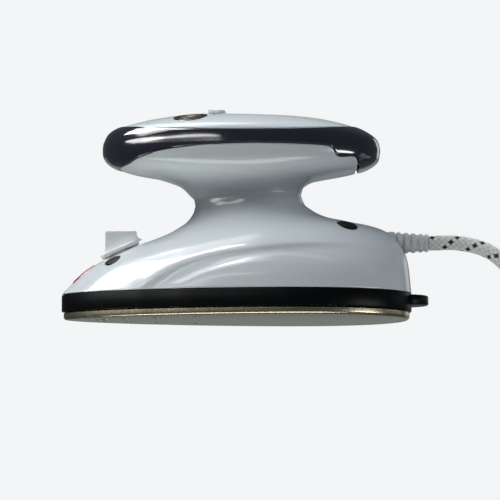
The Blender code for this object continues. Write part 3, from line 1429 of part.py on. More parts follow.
def make_hoses():
    """Suction hose from the tank and feed hose to the drip valve, both up the neck to the pump."""
    valve_top = COVER_TOP + FIT + VALVE_HEIGHT
    neck_x = along(NECK_FRONT) + WALL + HOSE_DIAMETER * 1.6
    pump_side = along(BUTTON_FROM_TIP) + PUMP_DIAMETER / 2 + FIT

    def up_to_pump(side):
        """The last bend, forward out of the neck into the pump's side."""
        drop = FRAME_HEIGHT - NECK_FRONT_HEIGHT
        way = neck_x - pump_side
        inner = HOSE_SIDE * 0.7
        shares = ((0.90, 0.66, HOSE_SIDE), (0.64, 0.36, inner), (0.34, 0.19, inner), (0.0, 0.14, inner))
        return [Vector((pump_side + way * a, side * y, FRAME_HEIGHT - drop * b)) for a, b, y in shares]

    suction = [
        Vector((along(TANK_REAR) + FIT, HOSE_SIDE, TANK_TOP - HOSE_DIAMETER * 2)),
        Vector((along(TANK_REAR) + HOSE_DIAMETER, HOSE_SIDE, TANK_TOP - HOSE_DIAMETER * 1.9)),
        Vector((neck_x, HOSE_SIDE, TANK_TOP)),
        Vector((neck_x, HOSE_SIDE, NECK_FRONT_HEIGHT)),
        *up_to_pump(1),
    ]
    feed = [
        Vector((along(VALVE_FROM_TIP), -VALVE_SIDE, valve_top + FIT)),
        Vector((along(VALVE_FROM_TIP), -VALVE_SIDE, valve_top + HOSE_DIAMETER * 1.5)),
        Vector((neck_x, -HOSE_SIDE, NECK_FRONT_HEIGHT)),
        *up_to_pump(-1),
    ]
    for name, route in (("suction_hose", suction), ("feed_hose", feed)):
        points, _ = smooth_route(route, HOSE_DIAMETER)
        tube(name, points, HOSE_DIAMETER, "clear", resolution=1)


def make_terminal_block():
    front = along(TERMINAL_FRONT)
    half = TERMINAL_WIDTH / 2
    low = SHIELD_TOP + FIT
    far_corner = (front + TERMINAL_LENGTH, half, low + TERMINAL_HEIGHT)
    made = block("terminal_block", (front, -half, low), far_corner, "grey")
    wells = []
    for share in (-0.3, 0.3):
        for along_share in (0.28, 0.72):
            x, y = front + TERMINAL_LENGTH * along_share, TERMINAL_WIDTH * share
            bottom, top = low + TERMINAL_HEIGHT / 2, low + TERMINAL_HEIGHT + OVERRUN
            wells.append(drill(SCREW_SHANK, bottom, top, HOLE_SIDES, x, y))
    return cut(made, wells)


def make_cord_clamp():
    x = along(CLAMP_FROM_TIP)
    low = SHIELD_TOP + FIT
    half = CLAMP_WIDTH / 2
    clamp = block("cord_clamp", (x, -half, low), (x + CLAMP_THICKNESS, half, CLAMP_TOP), "grey")
    hole = drill(RELIEF_INNER_DIAMETER + 2 * FIT, -OVERRUN, CLAMP_THICKNESS + OVERRUN, CAP_SIDES)
    return cut(clamp, [laid_rows(hole, Vector((x, 0.0, CORD_HEIGHT)), Vector((1, 0, 0)))])


def make_cord_strain_relief():
    """A ribbed boot, thin inside the wall and tapering outside it."""
    inner, root, tip = RELIEF_INNER_DIAMETER / 2, RELIEF_ROOT_DIAMETER / 2, RELIEF_TIP_DIAMETER / 2
    shoulder = RELIEF_ROOT - RELIEF_INNER
    length = RELIEF_END - RELIEF_INNER
    profile = [(inner, 0.0), (inner, shoulder - WALL), (root, shoulder)]
    first = shoulder + WALL
    pitch = (length - first) / (RELIEF_GROOVES + 1)
    for i in range(RELIEF_GROOVES):
        start = first + pitch * (i + 0.5)
        for shift, deep in ((0.0, False), (0.15, True), (0.45, True), (0.6, False)):
            depth = RELIEF_GROOVE_DEPTH if deep else 0.0
            at = start + pitch * shift
            share = (at - shoulder) / (length - shoulder)
            profile.append((root + (tip - root) * share - depth, at))
    profile.append((tip, length))
    boot = turned("cord_strain_relief", profile, "grey", 16)
    return lay(boot, Vector((along(RELIEF_INNER), 0.0, CORD_HEIGHT)), Vector((1, 0, 0)))


def coil_line():
    """The stored length: spiralled in and out again in layers, then bent in and up to the plug on top."""
    layer_turns = COIL_TURNS / COIL_LAYERS
    inner = (COIL_MIDDLE_DIAMETER - layer_turns * COIL_PITCH) / 2
    outer = (COIL_MIDDLE_DIAMETER + layer_turns * COIL_PITCH) / 2
    centre = Vector((along(COIL_CENTRE_FROM_TIP), COIL_START_SIDE + outer, 0.0))
    count = round(COIL_TURNS * COIL_POINTS_PER_TURN)
    points = []
    for i in range(count + 1):
        turned_by = COIL_TURNS * i / count
        layer = min(COIL_LAYERS - 1, int(turned_by / layer_turns))
        share = turned_by / layer_turns - layer
        radius = outer + (inner - outer) * (share if layer % 2 == 0 else 1 - share)
        climbed = layer
        for edge in range(1, COIL_LAYERS):
            off = (turned_by - edge * layer_turns) / COIL_CLIMB_TURNS
            if abs(off) < 1 / 2:
                climbed = edge - 1 + smooth_step(off + 1 / 2)
        height = CORD_DIAMETER / 2 + COIL_LAYER_RISE * climbed
        turn = 2 * math.pi * (turned_by - 1 / 4)
        points.append(centre + Vector((radius * math.cos(turn), radius * math.sin(turn), height)))
    last = points[-1]
    inward = flat_point(centre - last, 0.0).normalized()
    ahead = Vector((inward.y, -inward.x, 0.0))
    for i in range(1, TAIL_POINTS + 1):
        turn = math.pi / 2 * i / TAIL_POINTS
        bend = inward * (1 - math.cos(turn)) + ahead * math.sin(turn)
        points.append(last + bend * TAIL_RADIUS)
    points.append(points[-1] + inward * CORD_DIAMETER)
    rise = CORD_DIAMETER / 2 + FIT + PLUG_THICKNESS / 2
    first = len(points) - 2 - LIFT_POINTS
    for i in range(1, LIFT_POINTS + 2):
        points[first + i].z += rise * smooth_step(min(1.0, i / LIFT_POINTS))
    return points


def smooth_step(share):
    return share * share * (3 - 2 * share)


def least_gap(points, diameter):
    """The least clear distance of a wound tube to its own later turns."""
    least = 1.0
    skip = COIL_POINTS_PER_TURN // 2
    for i, first in enumerate(points):
        for second in points[i + skip:]:
            least = min(least, (first - second).length)
    return least - diameter


def make_cord():
    """The lead: a free stretch from the boot down to the table, the coil, and the plug on it."""
    line = coil_line()
    print("cord coil: least gap to itself %.2f mm" % (least_gap(line, CORD_DIAMETER) * 1000))
    first_way = Vector((-1.0, 0.0, 0.0))
    last_way = flat_point(line[-1] - line[-2], 0.0).normalized()
    start = line[0] + first_way * CORD_DIAMETER
    end = line[-1] + last_way * CORD_DIAMETER
    tube("cord_coil", [start, *line, end], CORD_DIAMETER, "braid", resolution=1)
    exit_point = Vector((along(RELIEF_END) + FIT, 0.0, CORD_HEIGHT))
    meet = start + first_way * FIT
    way = meet - exit_point
    route = [exit_point]
    for ahead, across, down in CORD_ROUTE_SHARES:
        route.append(exit_point + Vector((way.x * ahead, way.y * across, way.z * down)))
    route += [meet + first_way * CORD_DIAMETER * 2, meet]
    points, length = smooth_route(route, CORD_DIAMETER * 2)
    tube("power_cord", points, CORD_DIAMETER, "braid")
    coil_length = sum((b - a).length for a, b in zip(line, line[1:]))
    print("cord: stretch %.0f mm, coil %.0f mm" % (length * 1000, coil_length * 1000))
    make_plug(end + last_way * FIT, last_way)


def make_plug(point, way):
    """A flat two-pin plug lying on the coil."""
    flat = Vector((way.x, way.y, 0.0)).normalized()
    turn = math.atan2(flat.y, flat.x)
    laid = Matrix.Rotation(turn, 4, "Z") @ Matrix.Rotation(math.radians(90), 4, "Y")
    place = Matrix.Translation(point) @ laid
    waist, wide, thick = PLUG_CORD_END, PLUG_WIDTH, PLUG_THICKNESS
    sections = (
        (0.0, waist, waist), (0.12, waist * 1.06, waist), (0.40, wide * 0.80, thick * 0.92),
        (0.62, wide, thick),
        (0.94, wide, thick), (1.0, wide * 0.94, thick * 0.86),
    )
    rows = []
    for share, across, up in sections:
        row = []
        for i in range(CAP_SIDES):
            angle = 2 * math.pi * i / CAP_SIDES
            row.append(place @ Vector((
                -math.copysign(abs(math.cos(angle)) ** 0.6, math.cos(angle)) * up / 2,
                math.copysign(abs(math.sin(angle)) ** 0.6, math.sin(angle)) * across / 2,
                PLUG_LENGTH * share,
            )))
        rows.append(row)
    loft("plug_body", rows, "grey")
    for name, side in (("left", -1), ("right", 1)):
        profile = ((PIN_DIAMETER / 2, PLUG_LENGTH + FIT), (PIN_DIAMETER / 2, PLUG_LENGTH + PIN_LENGTH * 0.92),
                   (PIN_DIAMETER / 4, PLUG_LENGTH + PIN_LENGTH))
        pin = turned("plug_pin_" + name, profile, "brass", HOLE_SIDES, y=side * PIN_SPACING / 2)
        pin.data.transform(place)


def clear_scene():
    for old in list(bpy.data.objects):
        bpy.data.objects.remove(old, do_unlink=True)


def main():
    clear_scene()
    make_soleplate()
    make_base_skirt()
    make_heating_block()
    make_heating_element()
    make_chamber_gasket()
    make_chamber_cover()
    make_heat_shield()
    make_thermostat()
    make_thermal_fuse()
    make_drip_valve()
    make_water_tank()
    make_filler_grommet()
    make_filler_stopper()
    make_body_housing()
    make_screw_caps()
    make_pilot_lens()
    make_pilot_lamp()
    make_handle_band()
    make_handle_cover()
    make_steam_button()
    make_pump()
    make_settings()
    make_handle_frame()
    make_circuit_board()
    make_temperature_lever()
    make_lever_tab()
    make_selector_shaft()
    make_hoses()
    make_terminal_block()
    make_cord_clamp()
    make_cord_strain_relief()
    make_cord()


main()
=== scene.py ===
"""The travel iron dressed for a still.

The packed model is the frame. Every outer form is read again, finer, from the same
level outlines as the packed solids, so each piece lies where its solid lies.
Metres, +Z up, nose towards -X, cord leaving towards +X.
"""

import functools
import json
import math

import bmesh
import bpy
from mathutils import Matrix, Vector


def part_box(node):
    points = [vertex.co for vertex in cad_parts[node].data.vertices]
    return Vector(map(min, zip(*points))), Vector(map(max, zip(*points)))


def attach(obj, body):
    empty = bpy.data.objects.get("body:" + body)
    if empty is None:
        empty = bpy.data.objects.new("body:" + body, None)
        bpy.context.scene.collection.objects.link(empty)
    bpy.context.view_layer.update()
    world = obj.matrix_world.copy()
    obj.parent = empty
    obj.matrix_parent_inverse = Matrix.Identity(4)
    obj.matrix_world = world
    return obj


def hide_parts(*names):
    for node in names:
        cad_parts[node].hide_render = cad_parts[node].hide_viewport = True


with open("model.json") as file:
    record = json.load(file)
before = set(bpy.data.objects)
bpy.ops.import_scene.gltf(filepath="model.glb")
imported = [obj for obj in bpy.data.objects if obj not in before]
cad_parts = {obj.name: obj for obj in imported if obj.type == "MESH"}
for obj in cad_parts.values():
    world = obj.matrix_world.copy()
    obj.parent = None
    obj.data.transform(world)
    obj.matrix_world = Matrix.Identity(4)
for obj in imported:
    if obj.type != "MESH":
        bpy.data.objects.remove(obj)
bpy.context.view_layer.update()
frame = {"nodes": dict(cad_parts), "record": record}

bl_info = {
    "name": "Travel Iron",
    "version": (1, 0, 0),
    "blender": (4, 5, 0),
    "location": "3D View > Sidebar > Iron",
    "description": "Dresses the packed travel iron and sets it on its stage",
    "category": "Object",
}

MM = 0.001

# The silhouette of the nose: height share, share of the way from the tip to the neck.
NOSE_SHARES = (
    (0.000, 0.000), (0.093, 0.061), (0.180, 0.120), (0.259, 0.180), (0.349, 0.271),
    (0.465, 0.431), (0.541, 0.549), (0.616, 0.690), (0.692, 0.810), (0.747, 0.871),
    (0.805, 0.929), (0.860, 0.961), (0.920, 0.985), (1.000, 1.000),
)
# The rear: height share, share of the way from the heel to the neck.
REAR_SHARES = (
    (0.000, 0.000), (0.058, 0.006), (0.160, 0.014), (0.280, 0.026), (0.404, 0.055),
    (0.470, 0.086), (0.525, 0.124), (0.594, 0.181), (0.644, 0.259), (0.683, 0.373),
    (0.707, 0.487), (0.734, 0.601), (0.757, 0.713), (0.802, 0.827), (0.852, 0.905),
    (0.905, 0.965), (1.000, 1.000),
)
# The sides: height share, share of the way from the full width to the neck's.
SIDE_SHARES = (
    (0.000, 0.000), (0.120, 0.012), (0.235, 0.050), (0.345, 0.120), (0.457, 0.220),
    (0.568, 0.360), (0.680, 0.545), (0.763, 0.700), (0.847, 0.845), (0.930, 0.955),
    (1.000, 1.000),
)
# The handle's underside: height share, share of the way from the neck to the handle.
FRONT_FLARE_SHARES = (
    (0.000, 0.000), (0.110, 0.014), (0.188, 0.060), (0.298, 0.122), (0.370, 0.187),
    (0.442, 0.297), (0.519, 0.448), (0.591, 0.686), (0.663, 0.827), (0.740, 0.924),
    (0.813, 0.969), (0.928, 0.999), (1.000, 1.000),
)
REAR_FLARE_SHARES = (
    (0.000, 0.000), (0.161, 0.026), (0.253, 0.089), (0.339, 0.192), (0.408, 0.368),
    (0.471, 0.570), (0.529, 0.722), (0.626, 0.874), (0.782, 0.977), (1.000, 1.000),
)
SIDE_FLARE_SHARES = (
    (0.000, 0.000), (0.128, 0.020), (0.231, 0.100), (0.333, 0.270), (0.410, 0.450),
    (0.487, 0.620), (0.564, 0.755), (0.641, 0.850), (0.744, 0.935), (0.872, 0.985),
    (1.000, 1.000),
)
# The top: height share, share of the way from the handle's edge to the crown.
FRONT_CROWN_SHARES = (
    (0.000, 0.000), (0.104, 0.001), (0.257, 0.014), (0.417, 0.038), (0.576, 0.099),
    (0.674, 0.183), (0.764, 0.274), (0.882, 0.433), (0.979, 0.700), (1.000, 1.000),
)
REAR_CROWN_SHARES = (
    (0.000, 0.000), (0.219, 0.013), (0.474, 0.085), (0.613, 0.161), (0.752, 0.275),
    (0.854, 0.397), (0.934, 0.604), (0.978, 0.780), (1.000, 1.000),
)
SIDE_CROWN_SHARES = (
    (0.000, 0.000), (0.290, 0.010), (0.432, 0.035), (0.576, 0.120), (0.683, 0.220),
    (0.800, 0.360), (0.878, 0.480), (0.948, 0.650), (0.984, 0.820), (1.000, 1.000),
)
# The front, the rear and the side of each zone: base, flare and crown.
ZONE_SHARES = (
    (NOSE_SHARES, REAR_SHARES, SIDE_SHARES),
    (FRONT_FLARE_SHARES, REAR_FLARE_SHARES, SIDE_FLARE_SHARES),
    (FRONT_CROWN_SHARES, REAR_CROWN_SHARES, SIDE_CROWN_SHARES),
)
# At the base, the neck, the handle and the crown: where the widest station lies, and the powers that
# round the nose and the rear, two each.
PLAN_SHARES = (
    (0.650, 1.60, 1.70, 2.30, 2.20), (0.532, 2.00, 2.00, 2.00, 2.00),
    (0.535, 2.10, 2.05, 2.30, 2.15), (0.494, 2.00, 2.00, 2.00, 2.00),
)
# The band's lower edge: share of the handle's length, share of the way up from the neck to the band's ends.
BAND_LOW_SHARES = (
    (0.000, 0.395), (0.026, 0.404), (0.054, 0.417), (0.106, 0.473), (0.144, 0.514),
    (0.211, 0.576), (0.272, 0.605), (0.392, 0.645), (0.549, 0.661), (0.784, 0.644),
    (0.820, 0.628), (0.834, 0.560), (0.848, 0.500), (0.866, 0.490), (0.885, 0.495),
    (0.909, 0.510), (0.937, 0.459), (0.965, 0.399), (1.000, 0.355),
)
# The two swept folds: share of the base length, share of the height up to the neck.
UPPER_FOLD_SHARES = (
    (0.195, 0.000), (0.232, 0.045), (0.267, 0.122), (0.333, 0.275), (0.396, 0.362),
    (0.452, 0.415), (0.513, 0.450), (0.625, 0.495), (0.760, 0.520), (0.950, 0.510),
)
LOWER_FOLD_SHARES = (
    (0.300, 0.000), (0.341, 0.045), (0.407, 0.155), (0.465, 0.222), (0.510, 0.262), (0.573, 0.318),
    (0.633, 0.348), (0.697, 0.328), (0.757, 0.280), (0.860, 0.150),
)
# Over what share of the base length a fold rises at its front and dies away at its rear.
FOLD_FADE_SHARES = (0.06, 0.30)
# The lead's way down from the boot: shares ahead, across and down.
CORD_ROUTE_SHARES = (
    (0.107, 0.000, 0.000), (0.149, 0.004, 0.011), (0.192, 0.025, 0.045), (0.245, 0.072, 0.125),
    (0.299, 0.141, 0.257), (0.355, 0.228, 0.500), (0.412, 0.329, 0.743), (0.465, 0.431, 0.875),
    (0.518, 0.535, 0.955), (0.561, 0.619, 0.989), (0.603, 0.699, 1.000), (0.704, 0.863, 1.000),
    (0.810, 0.977, 1.000),
)

# How finely the outer forms are drawn
ROUND = 200
BODY_ROWS = 70
FLARE_ROWS = 48
BAND_ROWS = 20
CROWN_ROWS = 34
PATCH_RINGS = 14
PATCH_SIDES = 64
HALVINGS = 22


def linear(code):
    """Scene-linear colour of an sRGB hex code."""
    values = [int(code[i:i + 2], 16) / 255 for i in (1, 3, 5)]
    return [v / 12.92 if v <= 0.04045 else ((v + 0.055) / 1.055) ** 2.4 for v in values]


def length_of(name, description, default):
    return bpy.props.FloatProperty(
        name=name, description=description, default=default, unit="LENGTH", precision=4)


def colour_of(name, description, code):
    return bpy.props.FloatVectorProperty(
        name=name, description=description, default=linear(code), size=3, min=0, max=1, subtype="COLOR")


def spread(node, axis):
    """How far a packed node reaches along one axis."""
    low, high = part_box(node)
    return high[axis] - low[axis]


class IronSizes(bpy.types.PropertyGroup):
    """The iron's measures; what the frame holds is read from it."""

    base_length: length_of("Base length", "Tip of the skirt to its heel, without the lug", 0.1335)
    heel_reach: length_of("Heel reach", "How far the heel lug stands behind the skirt", 0.0065)
    base_width: length_of("Base width", "Widest place of the skirt", spread("base_skirt", 1))
    housing_low: length_of("Housing foot", "Height of the housing's lower edge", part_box("body_housing")[0].z)
    neck_front: length_of("Neck front", "From the tip to the front of the neck", 0.0510)
    neck_rear: length_of("Neck rear", "From the tip to the rear of the neck", 0.0914)
    neck_width: length_of("Neck width", "Width of the neck at its waist", 0.0310)
    neck_front_height: length_of("Neck front height", "Height of the waist in front", 0.0437)
    neck_rear_height: length_of("Neck rear height", "Height of the waist behind", 0.0478)
    neck_side_height: length_of("Neck side height", "Height of the waist at the sides", 0.0455)
    handle_front: length_of("Handle front", "From the tip to the front of the handle", 0.0157)
    handle_rear: length_of("Handle rear", "From the tip to the rear of the handle", 0.1216)
    handle_width: length_of("Handle width", "Widest place of the handle", 0.0572)
    crown_height: length_of("Crown height", "Height of the handle's crown", 0.0789)
    crown_from_tip: length_of("Crown station", "From the tip to the crown's top", 0.0660)
    handle_depth: length_of("Handle depth", "From the crown down to the handle's edge", 0.0139)
    band_side_drop: length_of("Band side drop", "From the crown down to the band at the sides", 0.0093)
    band_ends_drop: length_of("Band end drop", "From the crown down to the band at its ends", 0.0053)
    fold_upper: length_of("Upper fold", "How far the upper swept crest stands out", 0.0011)
    fold_upper_edge: length_of("Upper fold edge", "How fast it drops off below its line", 0.0019)
    fold_lower: length_of("Lower fold", "How far the lower swept crest stands out", 0.0005)
    fold_lower_edge: length_of("Lower fold edge", "How fast it rises above its line", 0.0010)
    fold_reach: length_of("Fold reach", "How far both folds die away on their soft side", 0.0080)
    wall: length_of("Wall", "Thickness of the moulded shells", 0.0020)
    seam: length_of("Seam", "Clear gap between neighbouring pieces", 0.0003)
    cord_diameter: length_of("Lead diameter", "Outside of the braid", 0.0056)
    coil_diameter: length_of("Coil diameter", "Middle of the coil's turns", 0.0598)
    coil_pitch: length_of("Coil pitch", "Between turns that lie side by side", 0.0062)
    coil_rise: length_of("Coil rise", "Between layers of turns", 0.0061)
    coil_turns: bpy.props.FloatProperty(name="Coil turns", description="Turns in the coil", default=8.75)
    coil_layers: bpy.props.IntProperty(name="Coil layers", description="Layers in the coil", default=4)
    coil_centre: length_of("Coil station", "From the tip to the coil's centre", 0.2400)


class IronColours(bpy.types.PropertyGroup):
    """Base colours of the finishes."""

    shell: colour_of("Shell", "Pale gloss ABS of the housing and the cover", "#C9D1D4")
    band: colour_of("Band", "Blue-black gloss of the handle band", "#1B1B28")
    skirt: colour_of("Skirt", "Black heat-proof ring", "#07090B")
    sole: colour_of("Sole", "Polished sole plate", "#BFB79C")
    silicone: colour_of("Silicone", "Milky stopper and tab", "#F6FAFC")
    lens: colour_of("Lens", "Red pilot lens", "#B4122A")
    button: colour_of("Button", "Black steam button", "#14141C")
    ring: colour_of("Rings", "Olive smoked rings", "#25261B")
    smoke: colour_of("Smoke", "Smoked lever and dish", "#59636A")
    braid: colour_of("Braid", "White thread of the lead", "#E9EAE6")
    fleck: colour_of("Fleck", "Black thread of the lead", "#17181A")
    plug: colour_of("Plug", "Grey-white plug and boot", "#C9CDCE")
    floor: colour_of("Floor", "Plain pale floor", "#EDEFF0")
    backdrop: colour_of("Backdrop", "What the camera sees behind the iron", "#F3F5F6")


class IronCamera(bpy.types.PropertyGroup):
    """The photograph's view."""

    elevation: bpy.props.FloatProperty(
        name="Elevation", description="Camera above the horizon", default=math.radians(-5.5), subtype="ANGLE")
    distance: length_of("Distance", "Camera to the object's middle plane", 1.10)
    view_width: length_of("View width", "What the frame spans at that plane", 0.19125)
    centre_x: length_of("Centre x", "Middle of the frame along the iron", 0.0019)
    centre_z: length_of("Centre z", "Middle of the frame above the floor", 0.0269)


def sizes():
    return bpy.context.scene.iron_sizes


def setting_names(group):
    """The names of what a group holds."""
    return [name for name in group.bl_rna.properties.keys() if name not in ("rna_type", "name")]


def colour(name):
    return (*getattr(bpy.context.scene.iron_colours, name), 1.0)


# ---------------------------------------------------------------- the shared form


def curve_through(shares, at):
    """A smooth curve through the pairs of shares that keeps rising where they rise."""
    keys = [pair[0] for pair in shares]
    values = [pair[1] for pair in shares]
    at = min(max(at, keys[0]), keys[-1])
    rises = [(values[i + 1] - values[i]) / (keys[i + 1] - keys[i]) for i in range(len(keys) - 1)]
    slopes = [rises[0]]
    for before, after in zip(rises, rises[1:]):
        slopes.append(0.0 if before * after <= 0 else 2 * before * after / (before + after))
    slopes.append(rises[-1])
    place = max(i for i in range(len(keys) - 1) if keys[i] <= at)
    span = keys[place + 1] - keys[place]
    t = (at - keys[place]) / span
    return (
        values[place] * (1 + 2 * t) * (1 - t) ** 2
        + slopes[place] * span * t * (1 - t) ** 2
        + values[place + 1] * t * t * (3 - 2 * t)
        - slopes[place + 1] * span * t * t * (1 - t)
    )


def smooth_step(share):
    return share * share * (3 - 2 * share)


def crown_curve(shares, at):
    """A curve as above, but in the root of the depth under the crown, so that the top is round."""
    rooted = [(1 - math.sqrt(1 - key), value) for key, value in shares]
    return curve_through(rooted, 1 - math.sqrt(max(0.0, 1 - at)))


def last_inside(low, high, inside):
    """The last place on the way from low to high where the test still holds."""
    for _ in range(HALVINGS):
        middle = (low + high) / 2
        if inside(middle):
            low = middle
        else:
            high = middle
    return low


class Form:
    """The iron's outer form: level outlines that change with height."""

    def __init__(self, s):
        self.length, self.low, self.crown = s.base_length, s.housing_low, s.crown_height
        self.tip = -(s.base_length + s.heel_reach) / 2
        self.ends = (
            (0.0, s.base_length, s.base_width / 2), (s.neck_front, s.neck_rear, s.neck_width / 2),
            (s.handle_front, s.handle_rear, s.handle_width / 2), (s.crown_from_tip, s.crown_from_tip, 0.0),
        )
        self.neck_at = (s.neck_front_height, s.neck_rear_height, s.neck_side_height)
        self.handle_at = s.crown_height - s.handle_depth
        self.band_side = s.crown_height - s.band_side_drop
        self.band_ends = s.crown_height - s.band_ends_drop
        self.folds = (
            (UPPER_FOLD_SHARES, s.fold_upper, s.fold_reach, s.fold_upper_edge),
            (LOWER_FOLD_SHARES, s.fold_lower, s.fold_lower_edge, s.fold_reach),
        )
        self.known = {}

    def along(self, from_tip):
        return self.tip + from_tip

    def zone(self, height, side):
        """Which zone a height lies in, and how far up the zone."""
        neck_at = self.neck_at[side]
        if height <= neck_at:
            return 0, (height - self.low) / (neck_at - self.low)
        if height <= self.handle_at:
            return 1, (height - neck_at) / (self.handle_at - neck_at)
        return 2, min(1.0, (height - self.handle_at) / (self.crown - self.handle_at))

    def reach(self, height, side):
        """Front, rear or half width of the outline at this height."""
        zone, share = self.zone(height, side)
        share = (crown_curve if zone == 2 else curve_through)(ZONE_SHARES[zone][side], share)
        first, second = self.ends[zone][side], self.ends[zone + 1][side]
        return first + (second - first) * share

    def plan(self, height):
        """Share of the widest station and the powers of the outline."""
        zone, share = self.zone(height, 2)
        if zone < 2:
            share = curve_through(ZONE_SHARES[zone][2], share)
        return [a + (b - a) * share for a, b in zip(PLAN_SHARES[zone], PLAN_SHARES[zone + 1])]

    def section(self, height):
        """Front, rear, half width, widest station and powers; remembered, as it is asked often."""
        height = max(height, self.low)
        key = round(height, 8)
        if key not in self.known:
            middle, *powers = self.plan(height)
            self.known[key] = (*[self.reach(height, side) for side in range(3)], self.length * middle, powers)
        return self.known[key]

    def fold(self, from_tip, height):
        """How far the swept folds lift the side: one crest drops off below, the other above."""
        if height >= self.neck_at[0]:
            return 0.0
        share = from_tip / self.length
        rise = self.neck_at[0] - self.low
        depth = 0.0
        for shares, size, above, below in self.folds:
            start, stop = shares[0][0], shares[-1][0]
            fade = min((share - start) / FOLD_FADE_SHARES[0], (stop - share) / FOLD_FADE_SHARES[1])
            if fade <= 0:
                continue
            fade = smooth_step(min(1.0, fade))
            under = self.low + rise * curve_through(shares, share) - height
            depth += size * fade * math.exp(-((under / (below if under > 0 else above)) ** 2))
        return depth

    def point(self, height, turn, inset=0.0, laid_at=None):
        """A point of the level outline; turn 0 is the nose, and it runs round the left side first."""
        front, rear, half, middle, powers = self.section(height)
        front, rear, half = front + inset, rear - inset, half - inset
        ahead, across = math.cos(turn), math.sin(turn)
        long_power, wide_power = powers[:2] if ahead >= 0 else powers[2:]
        out = abs(ahead) ** (2 / long_power)
        x = middle - (middle - front) * out if ahead >= 0 else middle + (rear - middle) * out
        side = half * abs(across) ** (2 / wide_power)
        side += self.fold(x, height) * min(1.0, side / half * 2)
        return Vector((self.along(x), -math.copysign(side, across), height if laid_at is None else laid_at))

    def axis(self, height, turn, step=0.0004):
        """The outward direction at a point of the outline."""
        little = step / self.length * 2 * math.pi
        level = self.point(height, turn + little) - self.point(height, turn - little)
        upright = self.point(height + step, turn) - self.point(height - step, turn)
        return level.cross(upright).normalized()

    def holds(self, place):
        """Whether a place lies inside the form, folds aside."""
        if place.z >= self.crown:
            return False
        front, rear, half, middle, powers = self.section(place.z)
        x = place.x - self.tip
        ahead = x < middle
        span = (middle - front) if ahead else (rear - middle)
        long_power, wide_power = powers[:2] if ahead else powers[2:]
        if span <= 0 or half <= 0:
            return False
        return (abs(x - middle) / span) ** long_power + (abs(place.y) / half) ** wide_power < 1

    def skin_along(self, place, axis, reach=0.006):
        """Where the line through a place along an axis leaves the form."""
        return place + axis * last_inside(-reach, reach, lambda far: self.holds(place + axis * far))

    def top(self, x, y):
        """Height of the handle's top over a point."""
        middle = (self.handle_at + self.crown) / 2
        return self.skin_along(Vector((x, y, middle)), Vector((0, 0, 1)), middle - self.handle_at).z

    def on_top(self, from_tip, y=0.0):
        """The point of the handle's top this far behind the tip."""
        x = self.along(from_tip)
        return Vector((x, y, self.top(x, y)))

    def ridge(self, from_tip):
        """The point of the nose's centre line this far behind the tip."""
        height = last_inside(self.low, self.neck_at[0], lambda height: self.section(height)[0] < from_tip)
        return Vector((self.along(from_tip), 0.0, height))

    def ridge_axis(self, from_tip, step=0.0015):
        slope = self.ridge(from_tip + step) - self.ridge(from_tip - step)
        return Vector((-slope.z, 0.0, slope.x)).normalized()

    def side_point(self, from_tip, height, side):
        """The point of the side at this station and height; side is -1 left or 1 right."""
        span = (math.pi / 2, math.pi) if from_tip > self.section(height)[3] else (0.0, math.pi / 2)
        turn = last_inside(*span, lambda turn: self.point(height, turn).x < self.along(from_tip))
        found = self.point(height, turn)
        return Vector((found.x, side * abs(found.y), found.z))

    def side_axis(self, from_tip, height, side, step=0.0015):
        level, upright = [
            self.side_point(from_tip + ahead, height + up, side)
            - self.side_point(from_tip - ahead, height - up, side)
            for ahead, up in ((step, 0.0), (0.0, step))]
        normal = level.cross(upright).normalized()
        return normal if normal.y * side > 0 else -normal

    def band_low(self, turn):
        """Height of the band's lower edge."""
        front, rear = self.ends[2][:2]
        share = (self.point(self.handle_at, turn).x - self.along(front)) / (rear - front)
        neck = self.neck_at[1]
        return neck + (self.band_ends - neck) * curve_through(BAND_LOW_SHARES, share)

    def band_top(self, turn):
        """Height of the band's upper edge, which dips at the sides."""
        return self.band_ends - (self.band_ends - self.band_side) * math.sin(turn) ** 2


# ---------------------------------------------------------------- making meshes and nodes


def turns_of(count=ROUND):
    return [2 * math.pi * i / count for i in range(count)]


def socket_of(sockets, name):
    """A socket by its identifier, or else by its label or its place."""
    return next((s for s in sockets if s.identifier == name), None) or sockets[name]


def set_inputs(tree, node, inputs):
    """Sets a node's inputs: a socket is linked, anything else is the input's value."""
    for name, value in inputs.items():
        socket = socket_of(node.inputs, name)
        if isinstance(value, bpy.types.NodeSocket):
            tree.links.new(value, socket)
        else:
            socket.default_value = value


def add_node(tree, kind, inputs=None, out=0, **settings):
    """Adds a node with its settings and links, and gives one of its outputs, or all where out is None."""
    made = tree.nodes.new(kind)
    for name, value in settings.items():
        setattr(made, name, value)
    set_inputs(tree, made, inputs or {})
    return made.outputs if out is None else socket_of(made.outputs, out)


def added(name, data):
    """An object of the data in the scene, at the origin."""
    made = bpy.data.objects.new(name, data)
    bpy.context.scene.collection.objects.link(made)
    return made


def shade(data, angle):
    """Round faces smooth, edges over the angle sharp."""
    data.shade_smooth()
    data.set_sharp_from_angle(angle=math.radians(angle))


def piece(name, data, material, smooth=32):
    """An object of the mesh in one material."""
    data.materials.append(material)
    shade(data, smooth)
    return added(name, data)


def bridge(shape, rows):
    """Joins rows of points into a skin that faces outwards when they run anticlockwise and rise."""
    made = [[shape.verts.new(p) for p in row] for row in rows]
    count = len(rows[0])
    for lower, upper in zip(made, made[1:]):
        for i in range(count):
            j = (i + 1) % count
            shape.faces.new((lower[i], lower[j], upper[j], upper[i]))
    return made


def cap_off(shape, row, up):
    """Closes a row with a fan round its middle."""
    centre = shape.verts.new(sum((v.co for v in row), Vector()) / len(row))
    for i, vert in enumerate(row):
        after = row[(i + 1) % len(row)]
        shape.faces.new((vert, after, centre) if up else (after, vert, centre))


def close_up(shape, rows):
    """Adds a closed stack of rows."""
    made = bridge(shape, rows)
    cap_off(shape, made[0], False)
    cap_off(shape, made[-1], True)


